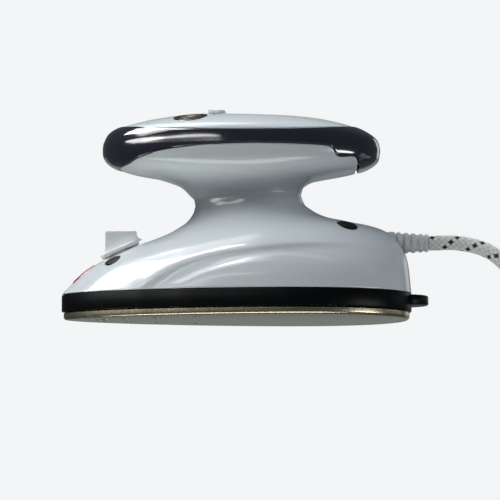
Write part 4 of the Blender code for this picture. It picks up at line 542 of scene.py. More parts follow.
def mesh_of(name, shape):
    """A mesh of the bmesh, with its faces pointing out."""
    bmesh.ops.recalc_face_normals(shape, faces=list(shape.faces))
    return bare_mesh(name, shape)


def bare_mesh(name, shape):
    data = bpy.data.meshes.new(name)
    shape.to_mesh(data)
    shape.free()
    return data


def stack(name, rows, material, smooth=32):
    """A closed solid of stacked rows."""
    shape = bmesh.new()
    close_up(shape, rows)
    return piece(name, mesh_of(name, shape), material, smooth)


def lathe_rows(profile, sides, place, wide=1.0):
    """Rows of a turned shape: radius and height pairs."""
    return [
        [place @ Vector((r * math.cos(t), r * wide * math.sin(t), z)) for t in turns_of(sides)]
        for r, z in profile
    ]


def facing(point, axis):
    """A place whose Z looks along the axis."""
    return Matrix.Translation(point) @ axis.to_track_quat("Z", "Y").to_matrix().to_4x4()


def walled(name, rows, wall, material, first_axes, last_axes=None, middle=None):
    """A shell with an inner wall, open at both ends or closed over a middle point."""
    shape = bmesh.new()
    made = bridge(shape, rows)
    if middle is not None:
        centre = shape.verts.new(middle)
        for i, vert in enumerate(made[-1]):
            shape.faces.new((vert, made[-1][(i + 1) % len(made[-1])], centre))
    shape.normal_update()
    shape.verts.index_update()
    outer = list(shape.verts)
    axes = [vert.normal.copy() for vert in outer]
    count = len(rows[0])
    last = (len(rows) - 1) * count
    axes[:count] = first_axes
    if last_axes:
        axes[last:last + count] = last_axes
    faces = [[vert.index for vert in face.verts] for face in shape.faces]
    inner = [shape.verts.new(vert.co - axis * wall) for vert, axis in zip(outer, axes)]
    for face in faces:
        shape.faces.new([inner[i] for i in reversed(face)])
    for i in range(count):
        j = (i + 1) % count
        shape.faces.new((outer[j], outer[i], inner[i], inner[j]))
        if middle is None:
            shape.faces.new((outer[last + i], outer[last + j], inner[last + j], inner[last + i]))
    return piece(name, bare_mesh(name, shape), material)


def settle(made):
    """Turns a piece and its modifiers into a plain mesh."""
    bpy.context.view_layer.update()
    ready = made.evaluated_get(bpy.context.evaluated_depsgraph_get())
    data = bpy.data.meshes.new_from_object(ready)
    made.modifiers.clear()
    made.data = data
    data.name = made.name


def combine(made, tools, operation, smooth=32):
    """Joins closed pieces to a piece, or takes them out of it: one clean mesh, and the tools are gone."""
    for tool in tools:
        step = made.modifiers.new("Combine", "BOOLEAN")
        step.operation, step.solver, step.object = operation, "EXACT", tool
    settle(made)
    for tool in tools:
        bpy.data.objects.remove(tool, do_unlink=True)
    shade(made.data, smooth)


def cut(made, parts):
    """Takes closed stacks of rows out of a piece."""
    shape = bmesh.new()
    for rows in parts:
        close_up(shape, rows)
    name = made.name + "_tool"
    combine(made, [added(name, mesh_of(name, shape))], "DIFFERENCE")


def new_tree(name, inputs):
    """A geometry tree with named inputs, and its input node's sockets."""
    tree = bpy.data.node_groups.new(name, "GeometryNodeTree")
    tree.interface.new_socket("Geometry", in_out="INPUT", socket_type="NodeSocketGeometry")
    for label, kind in inputs.items():
        tree.interface.new_socket(label, in_out="INPUT", socket_type="NodeSocket" + kind)
    tree.interface.new_socket("Geometry", in_out="OUTPUT", socket_type="NodeSocketGeometry")
    return tree, add_node(tree, "NodeGroupInput", out=None)


def end_tree(tree, geometry, material):
    """Ends a tree: the geometry made real, shaded smooth and in its material."""
    real = add_node(tree, "GeometryNodeRealizeInstances", {"Geometry": geometry})
    smooth = add_node(tree, "GeometryNodeSetShadeSmooth", {"Geometry": real})
    painted = add_node(tree, "GeometryNodeSetMaterial", {"Geometry": smooth, "Material": material})
    add_node(tree, "NodeGroupOutput", {"Geometry": painted}, None)
    return tree


def at_each_point(tree, given, instance, size):
    """The instance at each point of the piece, its Z along the point's axis."""
    points = add_node(tree, "GeometryNodeMeshToPoints", {"Mesh": given["Geometry"]})
    axis = add_node(tree, "GeometryNodeInputNamedAttribute", {"Name": "axis"}, data_type="FLOAT_VECTOR")
    turned = add_node(tree, "FunctionNodeAlignRotationToVector", {"Vector": axis}, axis="Z")
    return add_node(tree, "GeometryNodeInstanceOnPoints", {
        "Points": points, "Instance": instance, "Rotation": turned, "Scale": size})


def points_of(name, points, **attributes):
    """An object of loose points with a vector or a number at each for every attribute."""
    data = bpy.data.meshes.new(name)
    data.from_pydata(points, [], [])
    for key, values in attributes.items():
        vectors = isinstance(values[0], Vector)
        stored = data.attributes.new(key, "FLOAT_VECTOR" if vectors else "FLOAT", "POINT")
        for item, value in zip(stored.data, values):
            setattr(item, "vector" if vectors else "value", value)
    return added(name, data)


def grow(made, tree, smooth=32, **values):
    """Runs a geometry tree on a piece, its inputs set by identifier, and keeps the plain mesh."""
    step = made.modifiers.new("Nodes", "NODES")
    step.node_group = tree
    for item in tree.interface.items_tree:
        key = item.name.replace(" ", "_").lower()
        if item.item_type == "SOCKET" and item.in_out == "INPUT" and key in values:
            step[item.identifier] = values[key]
    settle(made)
    shade(made.data, smooth)


def dress(made, body, slot, *nodes):
    """Declares a finished piece to the frame."""
    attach(made, body)
    if nodes:
        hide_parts(*nodes)


# ---------------------------------------------------------------- finishes

# What a Mix node gives when it mixes colours.
COLOURS = {"out": "Result_Color", "data_type": "RGBA"}
# Grain and detail of the noises that several finishes share.
FLOW = (18 * MM, 3.0)
WORN = (3.5 * MM, 4.0)
CLOUD = (12 * MM, 3.0)


def blank(name, *noises):
    """A new material, its tree, the object coordinates, and noises of these grains in metres and details."""
    made = bpy.data.materials.new(name)
    made.use_nodes = True
    tree = made.node_tree
    coords = add_node(tree, "ShaderNodeTexCoord", out="Object")
    return made, tree, coords, [
        add_node(tree, "ShaderNodeTexNoise", {"Vector": coords, "Scale": 1 / grain, "Detail": detail}, "Fac")
        for grain, detail in noises]


def look(made, colours, skin, **values):
    """Sets a material: a colour between two by an amount, a relief, and plain values."""
    tree, (height, depth, strength) = made.node_tree, skin
    amount, first, second = colours
    set_inputs(tree, tree.nodes["Principled BSDF"], {
        "Base Color": add_node(tree, "ShaderNodeMix", {
            "Factor_Float": amount, "A_Color": first, "B_Color": second}, **COLOURS),
        "Normal": add_node(tree, "ShaderNodeBump", {
            "Height": height, "Distance": depth, "Strength": strength}),
        **{name.replace("_", " "): value for name, value in values.items()}})
    return made


def shaded(hue, factor=1.0):
    return (*[min(1.0, c * factor) for c in hue[:3]], 1.0)


def plastic(name, hue, rough, grain=1.2 * MM, depth=0.01 * MM, wear=0.08, **values):
    """Injection-moulded plastic: faint flow in the colour, paler edges, a varying gloss, the mould's skin."""
    made, tree, coords, (flow, wear_and_glint, skin) = blank(name, FLOW, WORN, (grain, 1.0))
    edge = add_node(tree, "ShaderNodeNewGeometry", out="Pointiness")
    raised = add_node(tree, "ShaderNodeMapRange", {
        "Value": edge, "From Min": 0.52, "From Max": 0.60, "To Max": wear})
    body = add_node(tree, "ShaderNodeMix", {
        "Factor_Float": flow, "A_Color": shaded(hue, 0.965), "B_Color": shaded(hue)}, **COLOURS)
    gloss = add_node(tree, "ShaderNodeMapRange", {
        "Value": wear_and_glint, "To Min": rough * 0.82, "To Max": rough * 1.22})
    return look(made, (raised, body, shaded(hue, 1.35)), (skin, depth, 0.6), Roughness=gloss,
                **{"Coat_Roughness": 0.06, **values})


def metal(name, hue, rough, brushed=(1.0, 1.0, 1.0), grain=0.4 * MM, depth=0.004 * MM):
    """Bare metal: the tool's marks in its gloss."""
    made, tree, coords, (cloud,) = blank(name, CLOUD)
    along = add_node(tree, "ShaderNodeMapping", {"Vector": coords, "Scale": brushed})
    marks = add_node(tree, "ShaderNodeTexNoise", {"Vector": along, "Scale": 1 / grain, "Detail": 3.0}, "Fac")
    gloss = add_node(tree, "ShaderNodeMapRange", {
        "Value": marks, "To Min": rough * 0.7, "To Max": rough * 1.35})
    return look(made, (cloud, shaded(hue, 0.90), shaded(hue, 1.04)), (marks, depth, 0.5), Roughness=gloss,
                Metallic=1.0)


def clear(name, code):
    """Clear moulded plastic or glass: seen through, with a wet shine."""
    made, _, _, (cloud, skin) = blank(name, (6 * MM, 2.0), (2 * MM, 1.0))
    hue = linear(code)
    return look(made, (cloud, shaded(hue), shaded(hue, 0.9)), (skin, 0.01 * MM, 0.4), Roughness=0.18,
                IOR=1.49, Transmission_Weight=0.7)


def shell_gloss():
    """Gloss ABS, injection moulded: an even, hard shine over a pale grey-white."""
    return plastic("Moulded ABS, pale gloss", colour("shell"), 0.20, wear=0.10, IOR=1.46, Coat_Weight=0.15)


def band_gloss():
    """ABS with a soft lacquer: blue-black, with clean streaks of light."""
    return plastic("Lacquered ABS, blue-black", colour("band"), 0.12, 1.6 * MM, wear=0.05, IOR=1.7,
                   Coat_Weight=1.0)


def skirt_black():
    """Phenolic, compression moulded: dense black with a dull shine."""
    return plastic("Moulded phenolic, black", colour("skirt"), 0.34, 0.5 * MM, 0.02 * MM, 0.12,
                   Specular_IOR_Level=0.10)


def sole_metal():
    """Aluminium plate, polished lengthwise: warm grey with fine lines from nose to heel."""
    return metal("Polished aluminium plate", colour("sole"), 0.26, brushed=(0.06, 1.0, 1.0), grain=0.3 * MM)


def milky_silicone():
    """Silicone rubber: light goes in a little and comes back soft, under a wet-looking skin."""
    return plastic("Silicone rubber, milky", colour("silicone"), 0.42, 0.9 * MM, wear=0.05, IOR=1.41,
                   Subsurface_Weight=0.10, Subsurface_Scale=MM, Coat_Weight=0.8, Coat_Roughness=0.12)


def button_black():
    """ABS, black, lightly etched on top so that a finger doesn't slip."""
    return plastic("Etched ABS, black", colour("button"), 0.30, 0.4 * MM, 0.02 * MM, 0.10, Coat_Weight=0.15)


def cap_black():
    """Soft PVC caps: black with a dull sheen."""
    return plastic("Soft PVC, black", colour("skirt"), 0.50, 0.6 * MM, 0.02 * MM, 0.10,
                   Specular_IOR_Level=0.25)


def cord_plastic():
    """Soft PVC, grey-white: a dull skin on the boot and the plug."""
    return plastic("Soft PVC, grey-white", colour("plug"), 0.46, 0.7 * MM, 0.02 * MM, 0.10,
                   Subsurface_Weight=0.08, Subsurface_Scale=MM)


def plated_brass():
    """Brass, nickel plated: a bright, slightly warm silver."""
    return metal("Nickel-plated brass", linear("#C9C4B4"), 0.18, brushed=(1.0, 1.0, 0.1))


def red_glow_lens():
    """Polycarbonate, clear red: deep where it is thick, with fine prisms moulded inside."""
    made, tree, coords, (skin,) = blank("Polycarbonate, clear red", (1.5 * MM, 1.0))
    prisms = add_node(tree, "ShaderNodeTexWave", {
        "Vector": coords, "Scale": 330.0, "Distortion": 0.4}, "Fac", bands_direction="Y")
    hue = colour("lens")
    return look(made, (prisms, shaded(hue, 0.72), shaded(hue, 1.12)), (skin, 0.01 * MM, 0.5), Roughness=0.12,
                IOR=1.58, Transmission_Weight=0.25, Coat_Weight=0.5, Coat_Roughness=0.04)


def smoked_ring():
    """Polycarbonate, olive smoke: dark, with a cloudy depth and a fine moulded skin."""
    made, _, _, (flow, skin) = blank("Polycarbonate, olive smoke", (4 * MM, 3.0), (0.8 * MM, 2.0))
    hue = colour("ring")
    return look(made, (flow, shaded(hue, 0.75), shaded(hue, 1.5)), (skin, 0.03 * MM, 0.6), Roughness=0.16,
                IOR=1.58, Transmission_Weight=0.15, Coat_Weight=0.4, Coat_Roughness=0.05)


def smoked_clear():
    """Polycarbonate, grey smoke: fine arcs moulded under its skin show through it."""
    made, tree, coords, _ = blank("Polycarbonate, grey smoke")
    arcs = add_node(tree, "ShaderNodeTexWave", {
        "Vector": coords, "Scale": 210.0, "Distortion": 0.3}, "Fac", wave_type="RINGS", rings_direction="Z")
    soft = add_node(tree, "ShaderNodeMapRange", {"Value": arcs, "To Min": 0.15, "To Max": 0.85})
    hue = colour("smoke")
    return look(made, (soft, shaded(hue, 0.45), shaded(hue, 1.7)), (arcs, 0.06 * MM, 0.5), Roughness=0.14,
                IOR=1.58, Transmission_Weight=0.35, Coat_Weight=0.4, Coat_Roughness=0.05)


def ring_cap(middle):
    """Polycarbonate, olive brown: fine rings turned round each cap's middle, which is rubbed paler."""
    made, tree, coords, _ = blank("Polycarbonate, olive brown")
    at = add_node(tree, "ShaderNodeSeparateXYZ", {"Vector": coords}, None)
    ahead = add_node(tree, "ShaderNodeMath", {0: at["X"], 1: middle}, operation="SUBTRACT")
    outward = add_node(tree, "ShaderNodeMath", {0: at["Y"]}, operation="ABSOLUTE")
    aside = add_node(tree, "ShaderNodeMath", {0: outward, 1: SETTING_SIDE}, operation="SUBTRACT")
    flat = add_node(tree, "ShaderNodeCombineXYZ", {"X": ahead, "Y": aside})
    away = add_node(tree, "ShaderNodeVectorMath", {0: flat}, "Value", operation="LENGTH")
    rings = add_node(tree, "ShaderNodeTexWave", {
        "Vector": flat, "Scale": 260.0}, "Fac", wave_type="RINGS", rings_direction="Z")
    hue = linear("#55513F")
    turned = add_node(tree, "ShaderNodeMix", {
        "Factor_Float": rings, "A_Color": shaded(hue, 0.55), "B_Color": shaded(hue, 1.35)}, **COLOURS)
    # Painted highlight: each cap is paled towards #A2A497 in its middle, a glint painted into the colour.
    wear_and_glint = add_node(tree, "ShaderNodeMapRange", {"Value": away, "From Min": 0.8 * MM, "From Max": 2.2 * MM})
    return look(made, (wear_and_glint, shaded(linear("#A2A497")), turned), (rings, 0.04 * MM, 0.6), Roughness=0.28,
                IOR=1.5, Specular_IOR_Level=0.3, Coat_Weight=0.1, Coat_Roughness=0.08)


STRANDS = 8
BRAID_TURN = 19 * MM
# The braid's sums: name, operation and terms, a term being a number or an earlier name.
BRAID_SUMS = (
    ("run", "MULTIPLY", "along", STRANDS / BRAID_TURN), ("round_by", "MULTIPLY", "round", STRANDS),
    ("one", "ADD", "round_by", "run"), ("two", "SUBTRACT", "round_by", "run"),
    ("one_strand", "FLOOR", "one"), ("two_strand", "FLOOR", "two"),
    ("crossing", "ADD", "one_strand", "two_strand"), ("over", "FLOORED_MODULO", "crossing", 2.0),
    ("under", "SUBTRACT", 1.0, "over"),
    ("one_place", "FRACT", "one"), ("one_off", "SUBTRACT", "one_place", 0.5),
    ("one_square", "MULTIPLY", "one_off", "one_off"), ("one_drop", "MULTIPLY", "one_square", 3.6),
    ("one_crown", "SUBTRACT", 1.0, "one_drop"), ("one_height", "MULTIPLY", "one_crown", "over"),
    ("two_place", "FRACT", "two"), ("two_off", "SUBTRACT", "two_place", 0.5),
    ("two_square", "MULTIPLY", "two_off", "two_off"), ("two_drop", "MULTIPLY", "two_square", 3.6),
    ("two_crown", "SUBTRACT", 1.0, "two_drop"), ("two_height", "MULTIPLY", "two_crown", "under"),
    ("height", "ADD", "one_height", "two_height"),
    ("turned", "FLOORED_MODULO", "one_strand", STRANDS),
    ("first_black", "COMPARE", "turned", 1.0, 0.1), ("second_black", "COMPARE", "turned", 5.0, 0.1),
    ("black", "ADD", "first_black", "second_black"), ("flecked", "MULTIPLY", "black", "over"),
    ("gap", "SUBTRACT", 1.0, "height"), ("shadow", "MULTIPLY", "gap", 0.75),
)


def braided_thread():
    """Textile braid, polyester over PVC: slanted strands over and under, two of them black."""
    made, tree, _, _ = blank("Braided polyester, white with black")
    uv = add_node(tree, "ShaderNodeUVMap", uv_map="braid")
    parts = add_node(tree, "ShaderNodeSeparateXYZ", {"Vector": uv}, None)
    known = {"along": parts["X"], "round": parts["Y"]}
    for name, operation, *terms in BRAID_SUMS:
        inputs = {i: known.get(term, term) for i, term in enumerate(terms)}
        known[name] = add_node(tree, "ShaderNodeMath", inputs, operation=operation)
    fuzz = add_node(tree, "ShaderNodeTexNoise", {"Vector": uv, "Scale": 2600.0, "Detail": 2.0}, "Fac")
    thread = colour("braid")
    white = add_node(tree, "ShaderNodeMix", {
        "Factor_Float": fuzz, "A_Color": shaded(thread, 0.80), "B_Color": shaded(thread)}, **COLOURS)
    deep = add_node(tree, "ShaderNodeMix", {
        "Factor_Float": known["shadow"], "A_Color": white, "B_Color": shaded(thread, 0.45)}, **COLOURS)
    return look(made, (known["flecked"], deep, colour("fleck")), (known["height"], 0.28 * MM, 0.9),
                Roughness=0.82, Sheen_Weight=0.15, Sheen_Roughness=0.4)


def inner_finish(slot):
    """The finishes of what lies inside, by the record's slot."""
    return {
        "steel": lambda: metal("Zinc-plated steel", linear("#B8BABC"), 0.32),
        "black_trim": cap_black,
        "cast_block": lambda: metal("Cast aluminium", linear("#9A9B99"), 0.48, grain=0.8 * MM,
                                    depth=0.04 * MM),
        "brass": lambda: metal("Drawn brass", linear("#B9924C"), 0.28),
        "seal_rubber": lambda: plastic("Silicone seal, pale grey", linear("#AEB4B5"), 0.6),
        "clear_plastic": lambda: clear("Polypropylene, clear", "#DCE6EA"),
        "lamp_glass": lambda: clear("Neon lamp glass", "#F0E6DC"),
        "grey_plastic": cord_plastic,
        "board_green": lambda: plastic("Glass-epoxy board, green", linear("#1F5B3A"), 0.35, 0.4 * MM),
    }[slot]()


@functools.cache
def finish(maker, *given):
    """Each finish is made once."""
    return maker(*given)


# ---------------------------------------------------------------- the pieces

# The round caps: name, share of the base length, share of the neck's height, diameter.
CAP_PLACES = (("front", 0.1483, 0.486, 0.0060), ("rear", 0.8135, 0.766, 0.0076))
CAP_DEPTH = 0.0015
CAP_RISE = 0.0004
RELIEF_INNER = 0.1135
RELIEF_ROOT = 0.1250
RELIEF_END = 0.1400
RELIEF_ROOT_DIAMETER = 0.0088
RELIEF_INNER_DIAMETER = 0.0058
RELIEF_TIP_DIAMETER = 0.0066
CORD_HEIGHT = 0.0295
FILLER_FROM_TIP = 0.0227
FILLER_SLOPE = math.radians(23.6)
FILLER_AXIS = Vector((-math.sin(FILLER_SLOPE), 0.0, math.cos(FILLER_SLOPE)))
FILLER_HOLE = 0.0106
FLANGE_LENGTH = 0.0154
FLANGE_WIDTH = 0.0090
FLANGE_THICK = 0.0017
FLANGE_CLEAR = 0.0003
FIN_FRONT = 0.0165
FIN_REAR = 0.0285
FIN_RISE = 0.0082
FIN_HALF = 0.0011
FIN_CORNER = 0.0006
LENS_FROM_TIP = 0.0082
LENS_LENGTH = 0.0115
LENS_WIDTH = 0.0078
LENS_PROUD = 0.0003
DISH_FROM_TIP = 0.0735
DISH_LENGTH = 0.0430
DISH_WIDTH = 0.0270
DISH_DEPTH = 0.0036
DISH_POWER = 6.0
BUTTON_FROM_TIP = 0.0400
BUTTON_LENGTH = 0.0200
BUTTON_WIDTH = 0.0205
SETTING_FROM_TIP = 0.0494
SETTING_SIDE = 0.0150
SETTING_RING = 0.0128
SETTING_CAP = 0.0084
MARKS_BEHIND = (0.0088, 0.0104)
MARKS_SIDE = 0.0126
LEVER_FROM_TIP = 0.0700
LEVER_REACH = 0.0170
LEVER_HUB = 0.0090
LEVER_TIP = 0.0028
LEVER_SAG = 0.0003
LUG_RADIUS = 0.0110
LUG_THICK = 0.0036
SKIRT_WALL = 0.0036
HOLES_SWEEP = math.radians(112)
HOLES_INSET = 0.0145
HOLES = 9
BAND_PROUD = 0.0003
# The rows at the band's edges: how far each lies past the edge and drops, as shares of BAND_PROUD.
BAND_EDGES = {-2: (0.0, 0.9), -1: (0.25, 0.3), BAND_ROWS + 1: (-0.25, 0.3), BAND_ROWS + 2: (0.0, 0.9)}
# Rows of the dish and of its lining, as shares of the dish's size.
DISH_SHARES = (1.0, 0.985, 0.965, 0.94, 0.91, 0.87, 0.83, 0.78, 0.72, 0.64, 0.54, 0.42, 0.28, 0.12)
INLAY_SHARES = (0.975, 0.96, 0.94, 0.91, 0.87, 0.82, 0.75, 0.66, 0.54, 0.40, 0.24, 0.08)


def soft_levels(low, high, edge):
    """Inset and height of the rows of a block with rounded edges."""
    return [(edge, low), (edge * 0.3, low + edge * 0.3), (0.0, low + edge), (0.0, high - edge),
            (edge * 0.3, high - edge * 0.3), (edge, high)]


def quarter(start, steps):
    """The angles of a quarter turn, both ends among them."""
    return [start + math.pi / 2 * k / steps for k in range(steps + 1)]


def racetrack(length, width, height, count=48):
    """An oval outline with straight sides."""
    radius = width / 2
    shift = length / 2 - radius
    return [Vector((math.copysign(shift, math.cos(t)) + radius * math.cos(t), radius * math.sin(t), height))
            for t in [2 * math.pi * (i + 0.5) / count for i in range(count)]]


def cap_places(form):
    """Name, point, outward direction and diameter of the four round caps."""
    places = []
    for side, hand in ((-1, "left"), (1, "right")):
        for where, station, rise, width in CAP_PLACES:
            place = (form.length * station, form.neck_at[2] * rise, side)
            places.append((where + "_" + hand, form.side_point(*place), form.side_axis(*place), width))
    return places


def lens_frame(form):
    """The lens's middle, its outward direction and the way uphill."""
    point, axis = form.ridge(LENS_FROM_TIP), form.ridge_axis(LENS_FROM_TIP)
    return point, axis, Vector((axis.z, 0.0, -axis.x))


def lens_rows(form, margin, depth):
    """Rows of the pilot lens's oval bar, square to the nose."""
    point, axis, uphill = lens_frame(form)
    ahead, across = LENS_LENGTH / 2 + margin, LENS_WIDTH / 2 + margin
    return [
        [point + axis * far - uphill * (ahead * math.cos(t)) + Vector((0, across * math.sin(t), 0))
         for t in turns_of(PATCH_SIDES)]
        for far in (-depth, depth)
    ]


def skin_patch(
        name, form, place, axis, ahead, across, thickness, proud, material, edge, inner=0.0, sink=0.0):
    """A round piece that follows the form's skin: a disc, or a ring where inner is over 0."""
    shares = [inner + (1 - inner) * (k / PATCH_RINGS) for k in range(PATCH_RINGS + 1)]
    if inner == 0:
        shares[0] = 0.02
    size = min(ahead.length, across.length)
    soft = edge / size
    shares += [1 - soft, 1 - soft / 2, 1 - soft / 6]
    if inner:
        shares += [inner + soft, inner + soft / 3]

    def row(share, depth):
        flats = [place + ahead * (share * math.cos(t)) + across * (share * math.sin(t))
                 for t in turns_of(PATCH_SIDES)]
        return [form.skin_along(flat, axis) + axis * depth for flat in flats]

    def round_off(out):
        """How far a place this far from an edge drops, so that the edge is rounded."""
        return edge * (1 - math.sqrt(max(0.0, 1 - (1 - min(1.0, out / edge)) ** 2)))

    def level(share):
        """Proud of the skin, sunk in the middle, and rounded down at its edges."""
        drop = round_off((1 - share) * size)
        if inner:
            drop = max(drop, round_off((share - inner) * size))
        return proud - drop - sink * max(0.0, 1 - share ** 2)

    rows = [row(share, level(share)) for share in sorted(set(shares), reverse=True)]
    shape = bmesh.new()
    if inner:
        bridge(shape, [*rows, row(min(shares), -thickness), row(1.0, -thickness), rows[0]])
        bmesh.ops.remove_doubles(shape, verts=list(shape.verts), dist=1e-7)
    else:
        close_up(shape, [row(1.0, -thickness), *rows])
    return piece(name, mesh_of(name, shape), material)


def make_housing(form):
    """The one-piece shell: nose, shoulders, neck and the underside of the handle."""
    s = sizes()
    gap = lip = s.seam
    waist = form.neck_at[0]
    rows = [[form.point(form.low, t, lip * inset, form.low + rise) for t in turns_of()]
            for inset, rise in ((0.9, 0.0), (0.3, lip * 0.3))]
    for k in range(BODY_ROWS + 1):
        height = form.low + lip + (waist - form.low - lip) * k / BODY_ROWS
        rows.append([form.point(height, t) for t in turns_of()])
    ends = [form.band_low(t) - gap for t in turns_of()]
    for k in range(1, FLARE_ROWS + 1):
        share = (k / FLARE_ROWS) ** 0.9
        rows.append([form.point(waist + (end - lip - waist) * share, t)
                     for t, end in zip(turns_of(), ends)])
    axes = [form.axis(form.band_low(t), t) for t in turns_of()]
    for lower, drop in ((0.3, 0.3), (0.0, 0.9)):
        rows.append([form.point(end - lip * lower, t) - axis * lip * drop
                     for t, end, axis in zip(turns_of(), ends, axes)])
    level = [Vector((-math.cos(t), -math.sin(t), 0)) for t in turns_of()]
    housing = walled("housing", rows, s.wall, finish(shell_gloss), level, axes)
    holes = []
    for _, point, axis, width in cap_places(form):
        well = ((width / 2 + gap, -2 * s.wall), (width / 2 + gap, -gap), (width / 2 + 2 * gap, gap))
        holes.append(lathe_rows(well, 40, facing(point, axis)))
    filler = ((FILLER_HOLE / 2, -3 * MM), (FILLER_HOLE / 2, 3 * MM))
    holes.append(lathe_rows(filler, 40, facing(form.ridge(FILLER_FROM_TIP), FILLER_AXIS)))
    holes.append(lens_rows(form, gap, 2 * s.wall))
    start = Vector((form.along(RELIEF_INNER) + s.wall, 0.0, CORD_HEIGHT))
    radius = RELIEF_ROOT_DIAMETER / 2 + gap
    bore = ((radius, 0.0), (radius, RELIEF_END - RELIEF_INNER))
    holes.append(lathe_rows(bore, 40, facing(start, Vector((1, 0, 0)))))
    cut(housing, holes)
    dress(housing, "iron", "white_shell", "body_housing")


def make_band(form):
    """The blue-black band round the handle."""
    edges = [(t, form.band_low(t), form.band_top(t)) for t in turns_of()]
    rows = []
    for k in range(-2, BAND_ROWS + 3):
        past, drop = BAND_EDGES.get(k, (0.0, 0.0))
        share = 0.03 + 0.94 * k / BAND_ROWS
        row = []
        for t, low, top in edges:
            height = low + (top - low) * share
            if k in BAND_EDGES:
                height = (low if k < 0 else top) + past * BAND_PROUD
            row.append(form.point(height, t) + form.axis(height, t) * (BAND_PROUD - drop * BAND_PROUD))
        rows.append(row)
    low_axes, top_axes = ([form.axis(edge[i], edge[0]) for edge in edges] for i in (1, 2))
    band = walled("handle_band_skin", rows, sizes().wall, finish(band_gloss), low_axes, top_axes)
    dress(band, "iron", "dark_band", "handle_band")


def dish_point(form, turn, share):
    """A point of the dish: share 1 is its rim, 0 its middle."""
    x = form.along(DISH_FROM_TIP) - DISH_LENGTH / 2 * share * math.cos(turn)
    y = -DISH_WIDTH / 2 * share * math.sin(turn)
    return Vector((x, y, form.top(x, y) - DISH_DEPTH * (1 - share ** DISH_POWER)))


def make_cover(form):
    """The crowned top with the lever's dish and the openings for the buttons."""
    s = sizes()
    axes = [form.axis(form.band_top(t), t) for t in turns_of()]
    rows = [[form.point(form.band_top(t) + s.seam * rise, t) - axis * drop
             for t, axis in zip(turns_of(), axes)]
            for rise, drop in ((1.0, 0.27 * MM), (1.4, 0.09 * MM), (2.0, 0.0))]
    rim, lip = rows[-1], [dish_point(form, t, 1.0) for t in turns_of()]
    for k in range(1, CROWN_ROWS):
        flats = [edge.lerp(inner, (k / CROWN_ROWS) ** 1.25) for edge, inner in zip(rim, lip)]
        rows.append([Vector((flat.x, flat.y, form.top(flat.x, flat.y))) for flat in flats])
    rows.append([edge.lerp(outer, 0.25) for edge, outer in zip(lip, rows[-1])])
    rows += [[dish_point(form, t, share) for t in turns_of()] for share in DISH_SHARES]
    cover = walled("cover", rows, s.wall, finish(shell_gloss), axes, middle=dish_point(form, 0.0, 0.0))
    over = form.crown + 2 * MM
    radius, wide = BUTTON_LENGTH / 2 + s.seam, BUTTON_WIDTH / 2 + s.seam
    place = Matrix.Translation(Vector((form.along(BUTTON_FROM_TIP), 0.0, 0.0)))
    holes = [lathe_rows(((radius, form.band_side), (radius, over)), PATCH_SIDES, place, wide / radius)]
    radius = SETTING_RING / 2 + s.seam
    for side in (-1, 1):
        place = Matrix.Translation(Vector((form.along(SETTING_FROM_TIP), side * SETTING_SIDE, 0.0)))
        holes.append(lathe_rows(((radius, form.band_side - MM), (radius, over)), 48, place))
    cut(cover, holes)
    dress(cover, "iron", "white_shell", "handle_cover")


def make_dish_inlay(form):
    """The smoked inlay that lines the dish under the lever."""
    lift = Vector((0, 0, 0.06 * MM))
    shape = bmesh.new()
    rows = bridge(shape, [
        [dish_point(form, t, share) + lift for t in turns_of(96)] for share in INLAY_SHARES])
    cap_off(shape, rows[-1], True)
    inlay = piece("dish_inlay", mesh_of("dish_inlay", shape), finish(smoked_clear))
    wall = inlay.modifiers.new("Wall", "SOLIDIFY")
    wall.thickness, wall.offset = 0.3 * MM, -1.0
    settle(inlay)
    dress(inlay, "iron", "smoked_lever")


def make_skirt(form):
    """The black heat-proof ring and its heel lug."""
    s = sizes()
    low, high = (corner.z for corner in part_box("base_skirt"))
    levels = soft_levels(low, high, 0.45 * MM)
    levels[3:3] = [(0.0, (low + high) / 2)]
    levels += [(SKIRT_WALL, high), (SKIRT_WALL, low)]
    rows = [[form.point(form.low, t, inset, height) for t in turns_of()] for inset, height in levels]
    shape = bmesh.new()
    bridge(shape, [*rows, rows[0]])
    bmesh.ops.remove_doubles(shape, verts=list(shape.verts), dist=1e-7)
    top = high - 0.4 * MM
    centre = form.along(s.base_length + s.heel_reach) - LUG_RADIUS
    inner = form.along(s.base_length) - SKIRT_WALL / 2
    lug = []
    for inset, height in soft_levels(top - LUG_THICK, top, 0.5 * MM):
        radius = LUG_RADIUS - inset
        arc = [Vector((centre + radius * math.cos(a), radius * math.sin(a), height))
               for a in [math.pi * (i / 48 - 0.5) for i in range(49)]]
        arc = [p for p in arc if p.x > inner + MM]
        side = arc[-1].y
        lug.append([Vector((inner, -side, height)), *arc, Vector((inner, side, height))])
    least = min(len(row) for row in lug)
    close_up(shape, [row[:1] + row[1:-1][(len(row) - least) // 2:][:least - 2] + row[-1:] for row in lug])
    dress(piece("skirt", mesh_of("skirt", shape), finish(skirt_black)), "iron", "black_trim", "base_skirt")


